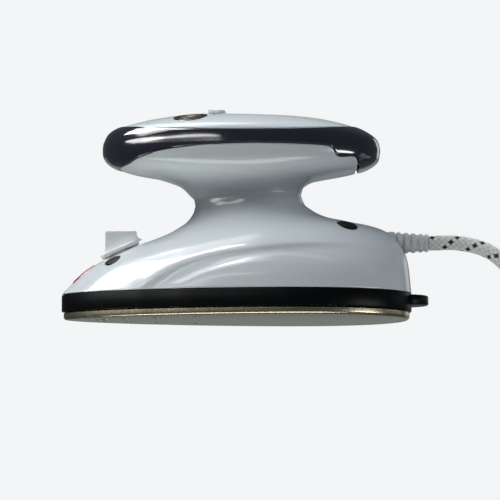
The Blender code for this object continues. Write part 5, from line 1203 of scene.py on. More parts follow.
def sole_tree():
    """Drills the steam holes: a countersunk drill at each place, taken out of the plate."""
    tree, given = new_tree("Steam holes", {
        "Places": "Object", "Hole Radius": "Float", "Sink Radius": "Float", "Sink Depth": "Float",
        "Drill Depth": "Float"})
    places = add_node(tree, "GeometryNodeObjectInfo", {"Object": given["Places"]}, "Geometry")
    points = add_node(tree, "GeometryNodeMeshToPoints", {"Mesh": places})
    joined = add_node(tree, "GeometryNodeJoinGeometry")
    for kind, inputs in (
        ("GeometryNodeMeshCylinder", {"Radius": given["Hole Radius"], "Depth": given["Drill Depth"]}),
        ("GeometryNodeMeshCone", {"Radius Top": given["Hole Radius"], "Radius Bottom": given["Sink Radius"],
                                  "Depth": given["Sink Depth"]}),
    ):
        drill = add_node(tree, kind, {"Vertices": 28, **inputs}, "Mesh")
        drills = add_node(tree, "GeometryNodeInstanceOnPoints", {"Points": points, "Instance": drill})
        tree.links.new(drills, joined.node.inputs[0])
    real = add_node(tree, "GeometryNodeRealizeInstances", {"Geometry": joined})
    drilled = add_node(
        tree, "GeometryNodeMeshBoolean",
        {"Mesh 1": given["Geometry"], "Mesh 2": real, "Self Intersection": True}, "Mesh",
        operation="DIFFERENCE", solver="EXACT")
    return end_tree(tree, drilled, finish(sole_metal))


def make_sole(form):
    """The polished plate with its bow of steam holes."""
    thick = spread("soleplate", 2)
    inset, edge = 0.8 * MM, 1.1 * MM
    levels = [(inset + edge * (1 - math.sin(a)), edge * (1 - math.cos(a))) for a in quarter(0.0, 6)]
    levels += [(inset, thick - 0.2 * MM), (inset + 0.2 * MM, thick)]
    rows = [[form.point(form.low, t, depth, height) for t in turns_of()] for depth, height in levels]
    plate = stack("sole", rows, finish(sole_metal))
    places = points_of("hole_places", [
        form.point(form.low, HOLES_SWEEP * (i / (HOLES - 1) - 0.5), HOLES_INSET, 0.0) for i in range(HOLES)])
    grow(plate, sole_tree(), places=places, hole_radius=1.2 * MM, sink_radius=1.7 * MM, sink_depth=0.5 * MM,
         drill_depth=thick * 4)
    bpy.data.objects.remove(places, do_unlink=True)
    dress(plate, "iron", "steel", "soleplate")


def make_stopper(form):
    """The silicone stopper: oval flange, stem down the filler, and the pull fin."""
    point = form.ridge(FILLER_FROM_TIP)
    place = Matrix.Translation(point) @ Matrix.Rotation(-FILLER_SLOPE, 4, "Y")
    high = FLANGE_CLEAR + FLANGE_THICK
    rows = [[place @ p for p in racetrack(FLANGE_LENGTH - 2 * inset, FLANGE_WIDTH - 2 * inset, height)]
            for inset, height in soft_levels(FLANGE_CLEAR, high, 0.40 * MM)]
    stopper = stack("stopper", rows, finish(milky_silicone))
    front, rear = form.along(FIN_FRONT), form.along(FIN_REAR)
    top, corner, half = point.z + FIN_RISE, FIN_CORNER, FIN_HALF

    def foot(x, rise=0.0):
        """A place this far over the fin's sunk root, 0.7 mm down in the sloping flange."""
        slant = (x - point.x) * math.tan(FILLER_SLOPE)
        return x, point.z + slant + high / math.cos(FILLER_SLOPE) - 0.7 * MM + rise

    arcs = [(x + corner * math.cos(a), top - corner + corner * math.sin(a))
            for x, start in ((rear - corner, 0.0), (front + corner, math.pi / 2)) for a in quarter(start, 6)]
    flared = [foot(rear + 2.2 * MM), foot(rear + 1.0 * MM, 1.0 * MM),
              (rear + 0.2 * MM, foot(rear, 2.2 * MM)[1])]
    outline = [foot(front), *flared, *arcs]
    middle = Vector(((front + rear) / 2, 0.0, (foot(front)[1] + top) / 2))
    rows = []
    for share, shy in ((-1, 0.25), (-0.92, 0.08), (-0.78, 0.0), (0.78, 0.0), (0.92, 0.08), (1, 0.25)):
        flats = [Vector((x, 0.0, z)) for x, z in outline]
        rows.append([flat + (middle - flat).normalized() * shy * MM + Vector((0.0, half * share, 0.0))
                     for flat in flats])
    fin = stack("fin", rows, finish(milky_silicone))
    profile = ((2.8 * MM, -4.3 * MM), (3.2 * MM, -3.9 * MM), (3.2 * MM, 0.6 * MM))
    stem = stack("stem", lathe_rows(profile, 32, facing(point, FILLER_AXIS)), finish(milky_silicone))
    combine(stopper, (fin, stem), "UNION", 28)
    dress(stopper, "stopper", "milky_silicone", "filler_stopper")


def make_lens(form):
    """The red pilot lens, flush in the nose."""
    point, axis, uphill = lens_frame(form)
    lens = skin_patch(
        "lens", form, point, axis, uphill * (LENS_LENGTH / 2), Vector((0, LENS_WIDTH / 2, 0)), 1.3 * MM,
        LENS_PROUD, finish(red_glow_lens), edge=0.7 * MM)
    dress(lens, "iron", "red_lens", "pilot_lens")


def caps_tree():
    """A domed plug at each place, turned to its axis and as wide as the place says."""
    tree, given = new_tree("Round caps", {"Foot": "Vector", "Crest": "Vector", "Segments": "Int"})
    spine = add_node(tree, "GeometryNodeCurvePrimitiveLine", {"Start": given["Foot"], "End": given["Crest"]})
    fine = add_node(tree, "GeometryNodeResampleCurve", {"Curve": spine, "Count": 40})
    factor = add_node(tree, "GeometryNodeSplineParameter", out="Factor")
    dome = add_node(tree, "ShaderNodeMapRange", {"Value": factor, "From Min": 0.78, "From Max": 1.0})
    square = add_node(tree, "ShaderNodeMath", {0: dome, 1: 2.0}, operation="POWER")
    left = add_node(tree, "ShaderNodeMath", {0: 1.0004, 1: square}, operation="SUBTRACT")
    wide = add_node(tree, "ShaderNodeMath", {0: left}, operation="SQRT")
    ring = add_node(tree, "GeometryNodeCurvePrimitiveCircle", {
        "Resolution": given["Segments"], "Radius": 1.0})
    cap = add_node(tree, "GeometryNodeCurveToMesh", {
        "Curve": fine, "Profile Curve": ring, "Scale": wide, "Fill Caps": True})
    radius = add_node(tree, "GeometryNodeInputNamedAttribute", {"Name": "half_width"}, data_type="FLOAT")
    size = add_node(tree, "ShaderNodeCombineXYZ", {"X": radius, "Y": radius, "Z": 1.0})
    return end_tree(tree, at_each_point(tree, given, cap, size), finish(cap_black))


def make_caps(form):
    """The four black caps over the housing's screws."""
    names, spots, axes, widths = zip(*cap_places(form))
    caps = points_of("caps", spots, axis=axes, half_width=[width / 2 for width in widths])
    grow(caps, caps_tree(), foot=(0.0, 0.0, -CAP_DEPTH), crest=(0.0, 0.0, CAP_RISE), segments=32)
    dress(caps, "iron", "black_trim", *["screw_cap_" + name for name in names])


def make_steam_button(form):
    """The big black button, a little hollowed for the thumb."""
    button = skin_patch(
        "steam_button_cap", form, form.on_top(BUTTON_FROM_TIP), Vector((0, 0, 1)),
        Vector((BUTTON_LENGTH / 2, 0, 0)), Vector((0, BUTTON_WIDTH / 2, 0)), 2.0 * MM, 0.05 * MM,
        finish(button_black), edge=0.5 * MM, sink=0.25 * MM)
    dress(button, "steam_button", "black_button", "steam_button")


def make_settings(form):
    """The two olive rings and the turned caps in them."""
    up = Vector((0, 0, 1))
    ring_radius, cap_radius = SETTING_RING / 2, SETTING_CAP / 2
    for hand, side in (("left", -1), ("right", 1)):
        place = form.on_top(SETTING_FROM_TIP, side * SETTING_SIDE)
        ring = skin_patch(
            "setting_rim_" + hand, form, place, up, Vector((ring_radius, 0, 0)), Vector((0, ring_radius, 0)),
            2.4 * MM, 0.2 * MM, finish(smoked_ring), edge=0.35 * MM,
            inner=(cap_radius + 0.3 * MM) / ring_radius)
        dress(ring, "iron", "smoked_ring", "setting_ring_" + hand)
        cap = skin_patch(
            "setting_cap_" + hand, form, place, up, Vector((cap_radius, 0, 0)), Vector((0, cap_radius, 0)),
            2.4 * MM, 0.4 * MM, finish(ring_cap, form.along(SETTING_FROM_TIP)), edge=0.6 * MM, sink=0.35 * MM)
        dress(cap, "setting_" + hand, "pale_cap", "setting_button_" + hand)


def marks_tree():
    """A small raised bar at each place."""
    tree, given = new_tree("Setting marks", {"Bar Size": "Vector"})
    bar = add_node(tree, "GeometryNodeMeshCube", {"Size": given["Bar Size"]}, "Mesh")
    return end_tree(tree, at_each_point(tree, given, bar, (1.0, 1.0, 1.0)), finish(button_black))


def make_marks(form):
    """Two plain bars behind each setting button."""
    spots, axes = [], []
    for side in (-1, 1):
        for behind in MARKS_BEHIND:
            x, y = form.along(SETTING_FROM_TIP) + behind, side * MARKS_SIDE
            height, ahead, beside = form.top(x, y), form.top(x + MM, y), form.top(x, y + MM)
            spots.append(Vector((x, y, height)))
            axes.append(Vector((MM, 0, ahead - height)).cross(Vector((0, MM, beside - height))).normalized())
    marks = points_of("setting_marks", spots, axis=axes)
    grow(marks, marks_tree(), bar_size=(0.75 * MM, 2.1 * MM, 0.24 * MM))
    dress(marks, "iron", "black_trim")


def lever_outline(form, height, margin):
    """A teardrop from the round hub back to its narrow tip, with a short blunt nose ahead."""
    hub, tip = LEVER_HUB + margin, LEVER_TIP + margin
    lean = math.asin((hub - tip) / LEVER_REACH)
    hinge = form.along(LEVER_FROM_TIP)
    points = []
    for i in range(28):
        turn = -math.pi / 2 + lean + (math.pi - 2 * lean) * i / 27
        points.append(Vector((hinge + LEVER_REACH + tip * math.cos(turn), tip * math.sin(turn), height)))
    for i in range(1, 56):
        turn = math.pi / 2 - lean + (math.pi + 2 * lean) * i / 56
        ahead = math.cos(turn)
        reach = LEVER_HUB if ahead < 0 else hub
        points.append(Vector((hinge + reach * ahead, hub * math.sin(turn), height)))
    return points


def make_lever(form):
    """The smoked teardrop lever with its grip rib and the olive disc on its hub."""
    under, top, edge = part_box("temperature_lever")[0].z, form.crown - 1.1 * MM, 0.45 * MM
    hinge = form.along(LEVER_FROM_TIP)
    levels = [(under, -0.7 * MM), (under + 0.4 * MM, -0.2 * MM), (under + 0.8 * MM, 0.0), (top - edge, 0.0)]
    levels += [(top - edge + edge * math.sin(a), -edge * (1 - math.cos(a))) for a in quarter(0.0, 5)[1:]]
    levels += [(top - 0.02 * MM, -2.0 * MM), (top - 0.10 * MM, -2.6 * MM)]
    rows = [lever_outline(form, height, margin) for height, margin in levels]
    start, stop = hinge - 2.7 * MM, hinge + LEVER_REACH * 0.92
    middle = Matrix.Translation(Vector(((start + stop) / 2, 0.0, 0.0)))
    rib_rows = [[middle @ p for p in racetrack(stop - start - 2 * inset, 2.4 * MM - 2 * inset, height)]
                for inset, height in ((0.0, under + 0.6 * MM), (0.0, top + 0.1 * MM),
                                      (0.25 * MM, top + 0.32 * MM), (0.6 * MM, top + 0.35 * MM))]
    for point in [point for row in rows + rib_rows for point in row]:
        point.z -= LEVER_SAG * min(1.0, max(0.0, (point.x - hinge) / LEVER_REACH)) ** 2
    lever = stack("lever", rows, finish(smoked_clear), 40)
    combine(lever, [stack("rib", rib_rows, finish(smoked_clear))], "UNION", 40)
    dress(lever, "temperature", "smoked_lever", "temperature_lever")
    profile = ((6.4 * MM, under + 0.6 * MM), (6.4 * MM, top + 0.10 * MM), (6.2 * MM, top + 0.16 * MM))
    rows = lathe_rows(profile, 96, Matrix.Translation(Vector((hinge, 0.0, 0.0))))
    dress(stack("lever_hub", rows, finish(smoked_ring)), "temperature", "smoked_lever")


def make_tab(form):
    """The pale tab ahead of the lever's hub, its front leaning back."""
    low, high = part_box("lever_tab")
    low.x, high.x = low.x - 0.3 * MM, high.x - 0.9 * MM
    size, middle = high - low, Matrix.Translation(Vector(((low.x + high.x) / 2, 0.0, 0.0)))
    front = (low.x + high.x) / 2 - size.x / 4
    rows = [[middle @ p for p in racetrack(size.x - 2 * inset, size.y - 2 * inset, height)]
            for inset, height in soft_levels(low.z, high.z, 0.4 * MM)]
    for point in [point for row in rows for point in row]:
        ahead = max(0.0, (front - point.x) / (size.x / 4))
        point.x += 0.8 * MM * ahead * (point.z - low.z) / size.z
    dress(stack("tab", rows, finish(milky_silicone)), "temperature", "milky_silicone", "lever_tab")


def boot_tree():
    """A tapered boot with ribs: a ring drawn along a line, its size read from the place on the line."""
    tree, given = new_tree("Ribbed boot", {
        "Start": "Vector", "Stop": "Vector", "Root Radius": "Float", "Tip Radius": "Float",
        "Rib Depth": "Float", "Ribs": "Float"})
    line = add_node(tree, "GeometryNodeCurvePrimitiveLine", {"Start": given["Start"], "End": given["Stop"]})
    fine = add_node(tree, "GeometryNodeResampleCurve", {"Curve": line, "Count": 150})
    factor = add_node(tree, "GeometryNodeSplineParameter", out="Factor")
    taper = add_node(tree, "ShaderNodeMapRange", {
        "Value": factor, "To Min": given["Root Radius"], "To Max": given["Tip Radius"]})
    ripples = add_node(tree, "ShaderNodeMath", {0: factor, 1: given["Ribs"]}, operation="MULTIPLY")
    turned = add_node(tree, "ShaderNodeMath", {0: ripples, 1: 2 * math.pi}, operation="MULTIPLY")
    wave = add_node(tree, "ShaderNodeMath", {0: turned}, operation="COSINE")
    groove = add_node(tree, "ShaderNodeMapRange", {
        "Value": wave, "From Min": -0.25, "From Max": 0.25, "To Min": 1.0, "To Max": 0.0},
        interpolation_type="SMOOTHSTEP")
    begun = add_node(tree, "ShaderNodeMath", {0: factor, 1: 0.09}, operation="GREATER_THAN")
    unended = add_node(tree, "ShaderNodeMath", {0: factor, 1: 0.91}, operation="LESS_THAN")
    ribbed = add_node(tree, "ShaderNodeMath", {0: begun, 1: unended}, operation="MULTIPLY")
    share = add_node(tree, "ShaderNodeMath", {0: groove, 1: ribbed}, operation="MULTIPLY")
    depth = add_node(tree, "ShaderNodeMath", {0: share, 1: given["Rib Depth"]}, operation="MULTIPLY")
    radius = add_node(tree, "ShaderNodeMath", {0: taper, 1: depth}, operation="SUBTRACT")
    ring = add_node(tree, "GeometryNodeCurvePrimitiveCircle", {"Resolution": 40, "Radius": 1.0})
    boot = add_node(tree, "GeometryNodeCurveToMesh", {
        "Curve": fine, "Profile Curve": ring, "Scale": radius, "Fill Caps": True})
    return end_tree(tree, boot, finish(cord_plastic))


def make_boot(form):
    """The cord's strain relief: its root in the wall and its ribbed taper outside."""
    start = Vector((form.along(RELIEF_INNER), 0.0, CORD_HEIGHT))
    deep, thin, wide = RELIEF_ROOT - RELIEF_INNER, RELIEF_INNER_DIAMETER / 2, RELIEF_ROOT_DIAMETER / 2
    profile = ((thin, 0.0), (thin, deep - 2 * MM), (wide, deep), (wide, deep + 1.0 * MM))
    root = stack("boot_root", lathe_rows(profile, 40, facing(start, Vector((1, 0, 0)))), finish(cord_plastic))
    taper = piece("boot", bpy.data.meshes.new("boot"), finish(cord_plastic))
    grow(taper, boot_tree(), 40, start=(form.along(RELIEF_ROOT) + 0.9 * MM, 0.0, CORD_HEIGHT),
         stop=(form.along(RELIEF_END), 0.0, CORD_HEIGHT), root_radius=wide,
         tip_radius=RELIEF_TIP_DIAMETER / 2, rib_depth=0.45 * MM, ribs=5.0)
    combine(taper, [root], "UNION", 40)
    dress(taper, "iron", "grey_plastic", "cord_strain_relief")


# ---------------------------------------------------------------- the lead

COIL_CLIMB_TURNS = 0.5
COIL_POINTS_PER_TURN = 24
COIL_START_SIDE = -0.0180
TAIL_RADIUS = 0.0240
TAIL_POINTS = 5
LIFT_POINTS = 9
PLUG_LENGTH = 0.0360
PLUG_WIDTH = 0.0250
PLUG_THICKNESS = 0.0136
PLUG_ROWS = 44
PLUG_GROOVES = 11
# The plug's width and thickness along it, as shares of the most.
PLUG_WIDE_SHARES = ((0.0, 0.36), (0.12, 0.38), (0.40, 0.80), (0.62, 1.0), (0.94, 1.0), (1.0, 0.94))
PLUG_THICK_SHARES = ((0.0, 0.66), (0.12, 0.66), (0.40, 0.92), (0.62, 1.0), (0.94, 1.0), (1.0, 0.86))
PIN_SIDE = 0.0093
# Radius and height in millimetres of a pin's sleeve and of the pin.
SLEEVE_PROFILE = ((2.0, 0.0), (2.0, 9.6), (1.9, 9.9), (1.5, 10.0))
PIN_PROFILE = (
    (1.8, 10.05), (1.9, 10.2), (2.0, 10.5), (2.0, 17.3), (1.9, 18.0), (1.5, 18.6), (0.9, 18.9))
TUBE_SIDES = 16
TUBE_STEP = 0.0020


def coil_line(form):
    """The stored length: layers spiralled in and out again, then bent in and up to the plug on top."""
    s = sizes()
    layer_turns = s.coil_turns / s.coil_layers
    inner = (s.coil_diameter - layer_turns * s.coil_pitch) / 2
    outer = (s.coil_diameter + layer_turns * s.coil_pitch) / 2
    centre = Vector((form.along(s.coil_centre), COIL_START_SIDE + outer, 0.0))
    count = round(s.coil_turns * COIL_POINTS_PER_TURN)
    points = []
    for i in range(count + 1):
        turned_by = s.coil_turns * i / count
        layer = min(s.coil_layers - 1, int(turned_by / layer_turns))
        share = turned_by / layer_turns - layer
        radius = outer + (inner - outer) * (share if layer % 2 == 0 else 1 - share)
        climbed = layer
        for edge in range(1, s.coil_layers):
            off = (turned_by - edge * layer_turns) / COIL_CLIMB_TURNS
            if abs(off) < 1 / 2:
                climbed = edge - 1 + smooth_step(off + 1 / 2)
        height = s.cord_diameter / 2 + s.coil_rise * climbed
        turn = 2 * math.pi * (turned_by - 1 / 4)
        points.append(centre + Vector((radius * math.cos(turn), radius * math.sin(turn), height)))
    last = points[-1]
    inward = (centre - last).to_2d().to_3d().normalized()
    ahead = Vector((inward.y, -inward.x, 0.0))
    for i in range(1, TAIL_POINTS + 1):
        turn = math.pi / 2 * i / TAIL_POINTS
        bend = inward * (1 - math.cos(turn)) + ahead * math.sin(turn)
        points.append(last + bend * TAIL_RADIUS)
    points.append(points[-1] + inward * s.cord_diameter)
    rise = s.cord_diameter / 2 + s.seam + PLUG_THICKNESS / 2
    first = len(points) - 2 - LIFT_POINTS
    for i in range(1, LIFT_POINTS + 2):
        points[first + i].z += rise * smooth_step(min(1.0, i / LIFT_POINTS))
    return points


def smooth_route(points, step):
    """Points at even steps along a smooth curve through the route's points."""
    ends = [2 * points[0] - points[1], *points, 2 * points[-1] - points[-2]]
    fine = []
    for before, start, end, after in zip(ends, ends[1:], ends[2:], ends[3:]):
        for i in range(24):
            t = i / 24
            fine.append(0.5 * (
                2 * start + (end - before) * t + (2 * before - 5 * start + 4 * end - after) * t ** 2
                + (3 * start - before - 3 * end + after) * t ** 3
            ))
    fine.append(points[-1])
    total = length_along(fine)
    count = max(2, round(total / step))
    picked, gone, wanted = [fine[0]], 0.0, total / count
    for a, b in zip(fine, fine[1:]):
        length = (b - a).length
        while gone + length >= wanted and len(picked) < count:
            picked.append(a.lerp(b, (wanted - gone) / length))
            wanted += total / count
        gone += length
    return picked + [fine[-1]]


def length_along(points):
    return sum((b - a).length for a, b in zip(points, points[1:]))


def cord_line(form):
    """The whole lead, from the boot down to the floor, round the coil and out to the plug."""
    s = sizes()
    coil = coil_line(form)
    first_way = Vector((-1.0, 0.0, 0.0))
    last_way = (coil[-1] - coil[-2]).to_2d().to_3d().normalized()
    meet = coil[0] + first_way * (s.cord_diameter + s.seam)
    end = coil[-1] + last_way * s.cord_diameter
    exit_point = Vector((form.along(RELIEF_END) + s.seam, 0.0, CORD_HEIGHT))
    way = meet - exit_point
    route = [exit_point]
    for ahead, across, down in CORD_ROUTE_SHARES:
        route.append(exit_point + Vector((way.x * ahead, way.y * across, way.z * down)))
    route += [meet + first_way * s.cord_diameter * 2, meet]
    down = smooth_route(route, s.cord_diameter * 2)
    return [*down, coil[0] + first_way * s.cord_diameter / 2, *coil, end], end + last_way * s.seam, last_way


def tube_mesh(name, line, diameter):
    """A tube along the line, its map in metres along and turns round."""
    points = smooth_route(line, TUBE_STEP)
    radius, sides = diameter / 2, TUBE_SIDES
    side = (points[1] - points[0]).normalized().cross(Vector((0, 1, 0))).normalized()
    verts, lengths = [], [0.0]
    for i, point in enumerate(points):
        tangent = (points[min(i + 1, len(points) - 1)] - points[max(i - 1, 0)]).normalized()
        side = (side - tangent * side.dot(tangent)).normalized()
        other = tangent.cross(side)
        verts += [point + side * (radius * math.cos(t)) + other * (radius * math.sin(t))
                  for t in turns_of(sides)]
        if i:
            lengths.append(lengths[-1] + (point - points[i - 1]).length)
    faces, maps = [], []
    for i in range(len(points) - 1):
        first, second = i * sides, (i + 1) * sides
        for j in range(sides):
            k = (j + 1) % sides
            faces.append((first + j, first + k, second + k, second + j))
            low, high = j / sides, (j + 1) / sides
            maps += [(lengths[i], low), (lengths[i], high), (lengths[i + 1], high), (lengths[i + 1], low)]
    faces += [tuple(reversed(range(sides))), tuple(range(len(verts) - sides, len(verts)))]
    maps += [(0.0, 0.0)] * (2 * sides)
    data = bpy.data.meshes.new(name)
    data.from_pydata(verts, [], faces)
    layer = data.uv_layers.new(name="braid")
    for loop, place in zip(layer.data, maps):
        loop.uv = place
    return data, points


def make_plug(point, way):
    """The flat two-pin plug: a rounded body with grip grooves, and two pins with their sleeves."""
    turn = math.atan2(way.y, way.x)
    place = Matrix.Translation(point) @ Matrix.Rotation(turn, 4, "Z") @ Matrix.Rotation(math.pi / 2, 4, "Y")
    rows = []
    for k in range(PLUG_ROWS + 1):
        share = k / PLUG_ROWS
        across = curve_through(PLUG_WIDE_SHARES, share) * PLUG_WIDTH
        up = curve_through(PLUG_THICK_SHARES, share) * PLUG_THICKNESS
        if 0.34 < share < 0.80:
            across -= 0.5 * MM * max(0.0, math.sin(share * 2 * math.pi * PLUG_GROOVES))
        rows.append([place @ Vector((
            -math.copysign(abs(math.cos(t)) ** 0.6, math.cos(t)) * up / 2,
            math.copysign(abs(math.sin(t)) ** 0.6, math.sin(t)) * across / 2,
            PLUG_LENGTH * share)) for t in turns_of(56)])
    body = stack("plug", rows, finish(cord_plastic), 50)
    dress(body, "iron", "plug_plastic", "plug_body")
    pieces = [body]
    for hand, side in (("left", -1), ("right", 1)):
        where = place @ Matrix.Translation(Vector((0.0, side * PIN_SIDE, PLUG_LENGTH + 0.3 * MM)))
        cover, pin = [
            stack(name + hand, lathe_rows([(r * MM, z * MM) for r, z in profile], 28, where),
                  finish(maker), 40)
            for name, profile, maker in (
                ("pin_sleeve_", SLEEVE_PROFILE, cap_black), ("pin_", PIN_PROFILE, plated_brass))]
        dress(cover, "iron", "black_trim")
        dress(pin, "iron", "brass", "plug_pin_" + hand)
        pieces += [cover, pin]
    return pieces


def make_cord(form):
    """The braided lead with its coil and plug."""
    s = sizes()
    line, plug_at, way = cord_line(form)
    data, points = tube_mesh("lead", line, s.cord_diameter)
    lead = piece("lead", data, finish(braided_thread), 60)
    dress(lead, "iron", "braided_cord", "power_cord", "cord_coil")
    plug = make_plug(plug_at, way)


# ---------------------------------------------------------------- the stage


def one_sided_floor():
    """Pale matt board that is seen and lit from above only, so the low camera looks past it."""
    made, tree, _, (cloud,) = blank("Matt board, pale", (0.25, 2.0))
    shader, hue = tree.nodes["Principled BSDF"], colour("floor")
    grain = add_node(tree, "ShaderNodeMix", {
        "Factor_Float": cloud, "A_Color": shaded(hue, 0.99), "B_Color": hue}, **COLOURS)
    ray = add_node(tree, "ShaderNodeLightPath", out=None)
    set_inputs(tree, shader, {
        "Base Color": add_node(tree, "ShaderNodeMix", {
            "Factor_Float": ray["Is Camera Ray"], "A_Color": shaded(hue, 0.22), "B_Color": grain}, **COLOURS),
        "Roughness": 0.9})
    gone = add_node(tree, "ShaderNodeNewGeometry", out="Backfacing")
    for kind in ("Is Shadow Ray", "Is Glossy Ray"):
        gone = add_node(tree, "ShaderNodeMath", {0: gone, 1: ray[kind]}, operation="MAXIMUM")
    air = add_node(tree, "ShaderNodeBsdfTransparent")
    mixed = add_node(tree, "ShaderNodeMixShader", {0: gone, 1: shader.outputs[0], 2: air})
    set_inputs(tree, tree.nodes["Material Output"], {"Surface": mixed})
    return made


def make_world():
    """An even pale room: what the camera and shiny things see is the backdrop, the rest is soft light."""
    world = bpy.data.worlds.new("Studio")
    world.use_nodes = True
    bpy.context.scene.world = world
    tree = world.node_tree
    tree.nodes.clear()
    ray = add_node(tree, "ShaderNodeLightPath", out=None)
    seen = add_node(tree, "ShaderNodeMath", {
        0: ray["Is Camera Ray"], 1: ray["Is Transmission Ray"]}, operation="MAXIMUM")
    soft, shine, plain = [
        add_node(tree, "ShaderNodeBackground", {"Color": hue, "Strength": strength})
        for hue, strength in ((shaded(linear("#DCE6EC")), 0.06), (shaded(linear("#C9D3DA")), 0.12),
                              (colour("backdrop"), 1.0))]
    lit = add_node(tree, "ShaderNodeMixShader", {0: ray["Is Glossy Ray"], 1: soft, 2: shine})
    shown = add_node(tree, "ShaderNodeMixShader", {0: seen, 1: lit, 2: plain})
    add_node(tree, "ShaderNodeOutputWorld", {"Surface": shown}, None)


# Name, place, target, width, height, power, colour, whether it lights, whether it shows in the gloss, roll.
LAMPS = (
    ("Key", (-0.88, -0.20, 0.90), (-0.02, 0.0, 0.04), 0.60, 0.50, 12.8, "#FFFFFF", True, True, 0),
    ("Top", (-0.28, 0.12, 1.00), (0.0, 0.0, 0.05), 0.80, 0.45, 5.5, "#FBFDFF", True, True, 0),
    ("Nose strip", (-0.47, 0.14, 1.00), (0.0, 0.0, 0.03), 0.12, 0.45, 1.5, "#FFFFFF", False, True, 0),
    ("Left card", (-0.77, -0.46, 0.69), (0.0, 0.0, 0.05), 0.50, 0.45, 2.8, "#FFFFFF", False, True, 0),
    ("Left strip", (-0.98, -0.58, 0.35), (0.0, 0.0, 0.06), 0.80, 0.19, 2.9, "#FFFFFF", False, True, 0),
    ("Long strip", (-0.66, -0.95, 0.34), (0.0, 0.0, 0.06), 1.05, 0.08, 1.5, "#FFFFFF", False, True, 0),
    ("Shoulder strip", (-0.42, -0.78, 0.85), (0.0, 0.0, 0.03), 0.60, 0.14, 1.8, "#FFFFFF", False, True, 0),
    ("Side", (1.00, -0.40, 0.62), (0.0, 0.0, 0.04), 0.30, 0.50, 3.7, "#F4F8FF", True, False, 0),
    ("Front", (0.20, -0.52, 1.00), (0.0, 0.0, 0.02), 0.80, 0.30, 1.5, "#F8FAFC", True, False, 0),
    ("Fold strip", (-0.50, -0.37, 0.89), (0.0, 0.0, 0.02), 0.52, 0.13, 5.6, "#FFFFFF", False, True, 40),
    ("Low rear", (0.92, -0.55, -0.18), (0.0, 0.0, 0.06), 0.60, 0.16, 2.4, "#FFFFFF", False, True, 0),
    ("Rear rim", (0.62, 0.92, 0.26), (0.0, 0.0, 0.04), 0.34, 0.60, 0.45, "#FFFFFF", False, True, 0),
    ("Low", (-0.14, -0.36, -0.92), (0.0, 0.0, 0.05), 1.30, 0.30, 6.8, "#F2F2EE", True, True, 0),
    ("Sole card", (0.0, 1.10, -0.14), (0.0, 0.0, 0.0), 1.60, 0.36, 0.40, "#EAF2F4", False, True, 0),
)


def make_stage():
    """Floor, world, lamps and the photograph's camera."""
    view = bpy.context.scene.iron_camera
    reach, drop = 6.0, 0.3 * MM
    data = bpy.data.meshes.new("floor")
    data.from_pydata(
        [(x * reach, y * reach, -drop) for x, y in ((-1, -1), (1, -1), (1, 1), (-1, 1))], [], [(0, 1, 2, 3)])
    piece("floor", data, finish(one_sided_floor))
    make_world()
    for name, place, target, width, height, power, code, lights, shines, roll in LAMPS:
        lamp = bpy.data.lights.new(name, "AREA")
        lamp.shape, lamp.size, lamp.size_y = "RECTANGLE" if lights else "ELLIPSE", width, height
        lamp.energy, lamp.color = power, linear(code)
        made = added(name, lamp)
        made.location = place
        faces = (Vector(place) - Vector(target)).to_track_quat("Z", "Y").to_matrix()
        made.rotation_euler = (faces @ Matrix.Rotation(math.radians(roll), 3, "Z")).to_euler()
        made.visible_camera, made.visible_diffuse, made.visible_glossy = False, lights, shines
    eye = bpy.data.cameras.new("Camera")
    eye.sensor_width = 36.0
    eye.lens = eye.sensor_width * view.distance / view.view_width
    eye.clip_start, eye.clip_end = 0.05, 50.0
    camera = added("Camera", eye)
    back = Vector((0.0, -math.cos(view.elevation), math.sin(view.elevation)))
    camera.location = Vector((view.centre_x, 0.0, view.centre_z)) + back * view.distance
    camera.rotation_euler = back.to_track_quat("Z", "Y").to_euler()
    bpy.context.scene.camera = camera
    bpy.context.scene.view_settings.view_transform = "Standard"


# The record's slots of the solids that stay as they are; any other is grey plastic.
INNER_SLOTS = {
    "cast_block": ("heating_block",),
    "steel": (
        "heating_element", "chamber_cover", "heat_shield", "thermostat", "pump_spring", "selector_shaft",
        "body_screw_front_left", "body_screw_front_right", "body_screw_rear_left", "body_screw_rear_right"),
    "seal_rubber": ("chamber_gasket", "filler_grommet"),
    "brass": ("thermal_fuse", "drip_valve"),
    "clear_plastic": ("water_tank", "pump_cylinder", "suction_hose", "feed_hose"),
    "lamp_glass": ("pilot_lamp",),
    "board_green": ("circuit_board",),
    "black_trim": ("setting_switch_left", "setting_switch_right"),
}


def finish_inner():
    """Good finishes on the solids that stay as they are."""
    slots = {m.get("slot") for m in frame["record"].get("materials", [])}
    for name, made in frame["nodes"].items():
        if made.hide_render:
            continue
        slot = next((slot for slot, names in INNER_SLOTS.items() if name in names), "grey_plastic")
        if slot not in slots:
            raise RuntimeError(name + " has no slot named " + slot)
        for held in made.material_slots:
            held.link = "OBJECT"
            held.material = finish(inner_finish, slot)


# ---------------------------------------------------------------- operators


@functools.cache
def form_of(*_):
    """The form of the sizes, made again only when one of the values given has changed."""
    return Form(sizes())


def the_form():
    """The form of the present sizes."""
    return form_of(*[getattr(sizes(), name) for name in setting_names(sizes())])


def operator(key, label, text, run, needs_form=True):
    """One operator for a piece or group of like pieces."""

    def execute(self, context):
        run(*([the_form()] if needs_form else []))
        self.report({"INFO"}, label + " made")
        return {"FINISHED"}

    return type("IRON_OT_" + key, (bpy.types.Operator,), {
        "bl_idname": "iron." + key, "bl_label": label, "__doc__": text, "execute": execute,
    })


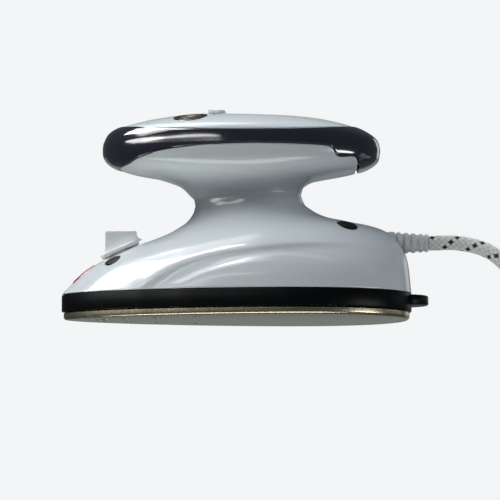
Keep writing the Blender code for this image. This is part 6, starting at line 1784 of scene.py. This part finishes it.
OPERATORS = (
    operator("stage", "Stage", "Sets the floor, the lamps, the world and the camera", make_stage, False),
    operator("lead", "Lead", "Makes the braided lead, its coil and its plug", make_cord),
    operator("boot", "Boot", "Makes the ribbed strain relief", make_boot),
    operator("housing", "Housing", "Makes the one-piece housing with its neck", make_housing),
    operator("band", "Band", "Makes the band round the handle", make_band),
    operator("cover", "Cover", "Makes the crowned cover with its dish", make_cover),
    operator("inlay", "Dish inlay", "Makes the smoked lining of the dish", make_dish_inlay),
    operator("skirt", "Skirt", "Makes the heat-proof ring and its heel lug", make_skirt),
    operator("sole", "Sole", "Makes the plate and its steam holes", make_sole),
    operator("stopper", "Stopper", "Makes the silicone filler stopper", make_stopper),
    operator("lens", "Pilot lens", "Makes the red lens in the nose", make_lens),
    operator("caps", "Screw caps", "Makes the four caps over the screws", make_caps),
    operator("steam", "Steam button", "Makes the big black button", make_steam_button),
    operator("settings", "Setting buttons", "Makes the two rings and their caps", make_settings),
    operator("marks", "Setting marks", "Makes the plain bars behind the buttons", make_marks),
    operator("lever", "Temperature lever", "Makes the smoked lever and its hub", make_lever),
    operator("tab", "Lever tab", "Makes the pale tab ahead of the hub", make_tab),
    operator("inner", "Inner finishes", "Gives the inner solids their materials", finish_inner, False),
)


class IRON_PT_panel(bpy.types.Panel):
    """Lists the iron's operators and sizes."""

    bl_idname = "IRON_PT_panel"
    bl_label = "Travel iron"
    bl_space_type = "VIEW_3D"
    bl_region_type = "UI"
    bl_category = "Iron"

    def draw(self, context):
        for made in OPERATORS:
            self.layout.operator(made.bl_idname)
        for group in (context.scene.iron_sizes, context.scene.iron_colours, context.scene.iron_camera):
            box = self.layout.box()
            for name in setting_names(group):
                box.prop(group, name)


GROUPS = (("iron_sizes", IronSizes), ("iron_colours", IronColours), ("iron_camera", IronCamera))


def register():
    for name, group in GROUPS:
        bpy.utils.register_class(group)
        setattr(bpy.types.Scene, name, bpy.props.PointerProperty(type=group))
    for made in (*OPERATORS, IRON_PT_panel):
        bpy.utils.register_class(made)


def unregister():
    for made in reversed((*OPERATORS, IRON_PT_panel)):
        bpy.utils.unregister_class(made)
    for name, group in reversed(GROUPS):
        delattr(bpy.types.Scene, name)
        bpy.utils.unregister_class(group)


def main():
    register()
    for made in OPERATORS:
        getattr(bpy.ops.iron, made.bl_idname.split(".")[1])()


if __name__ == "__main__":
    main()
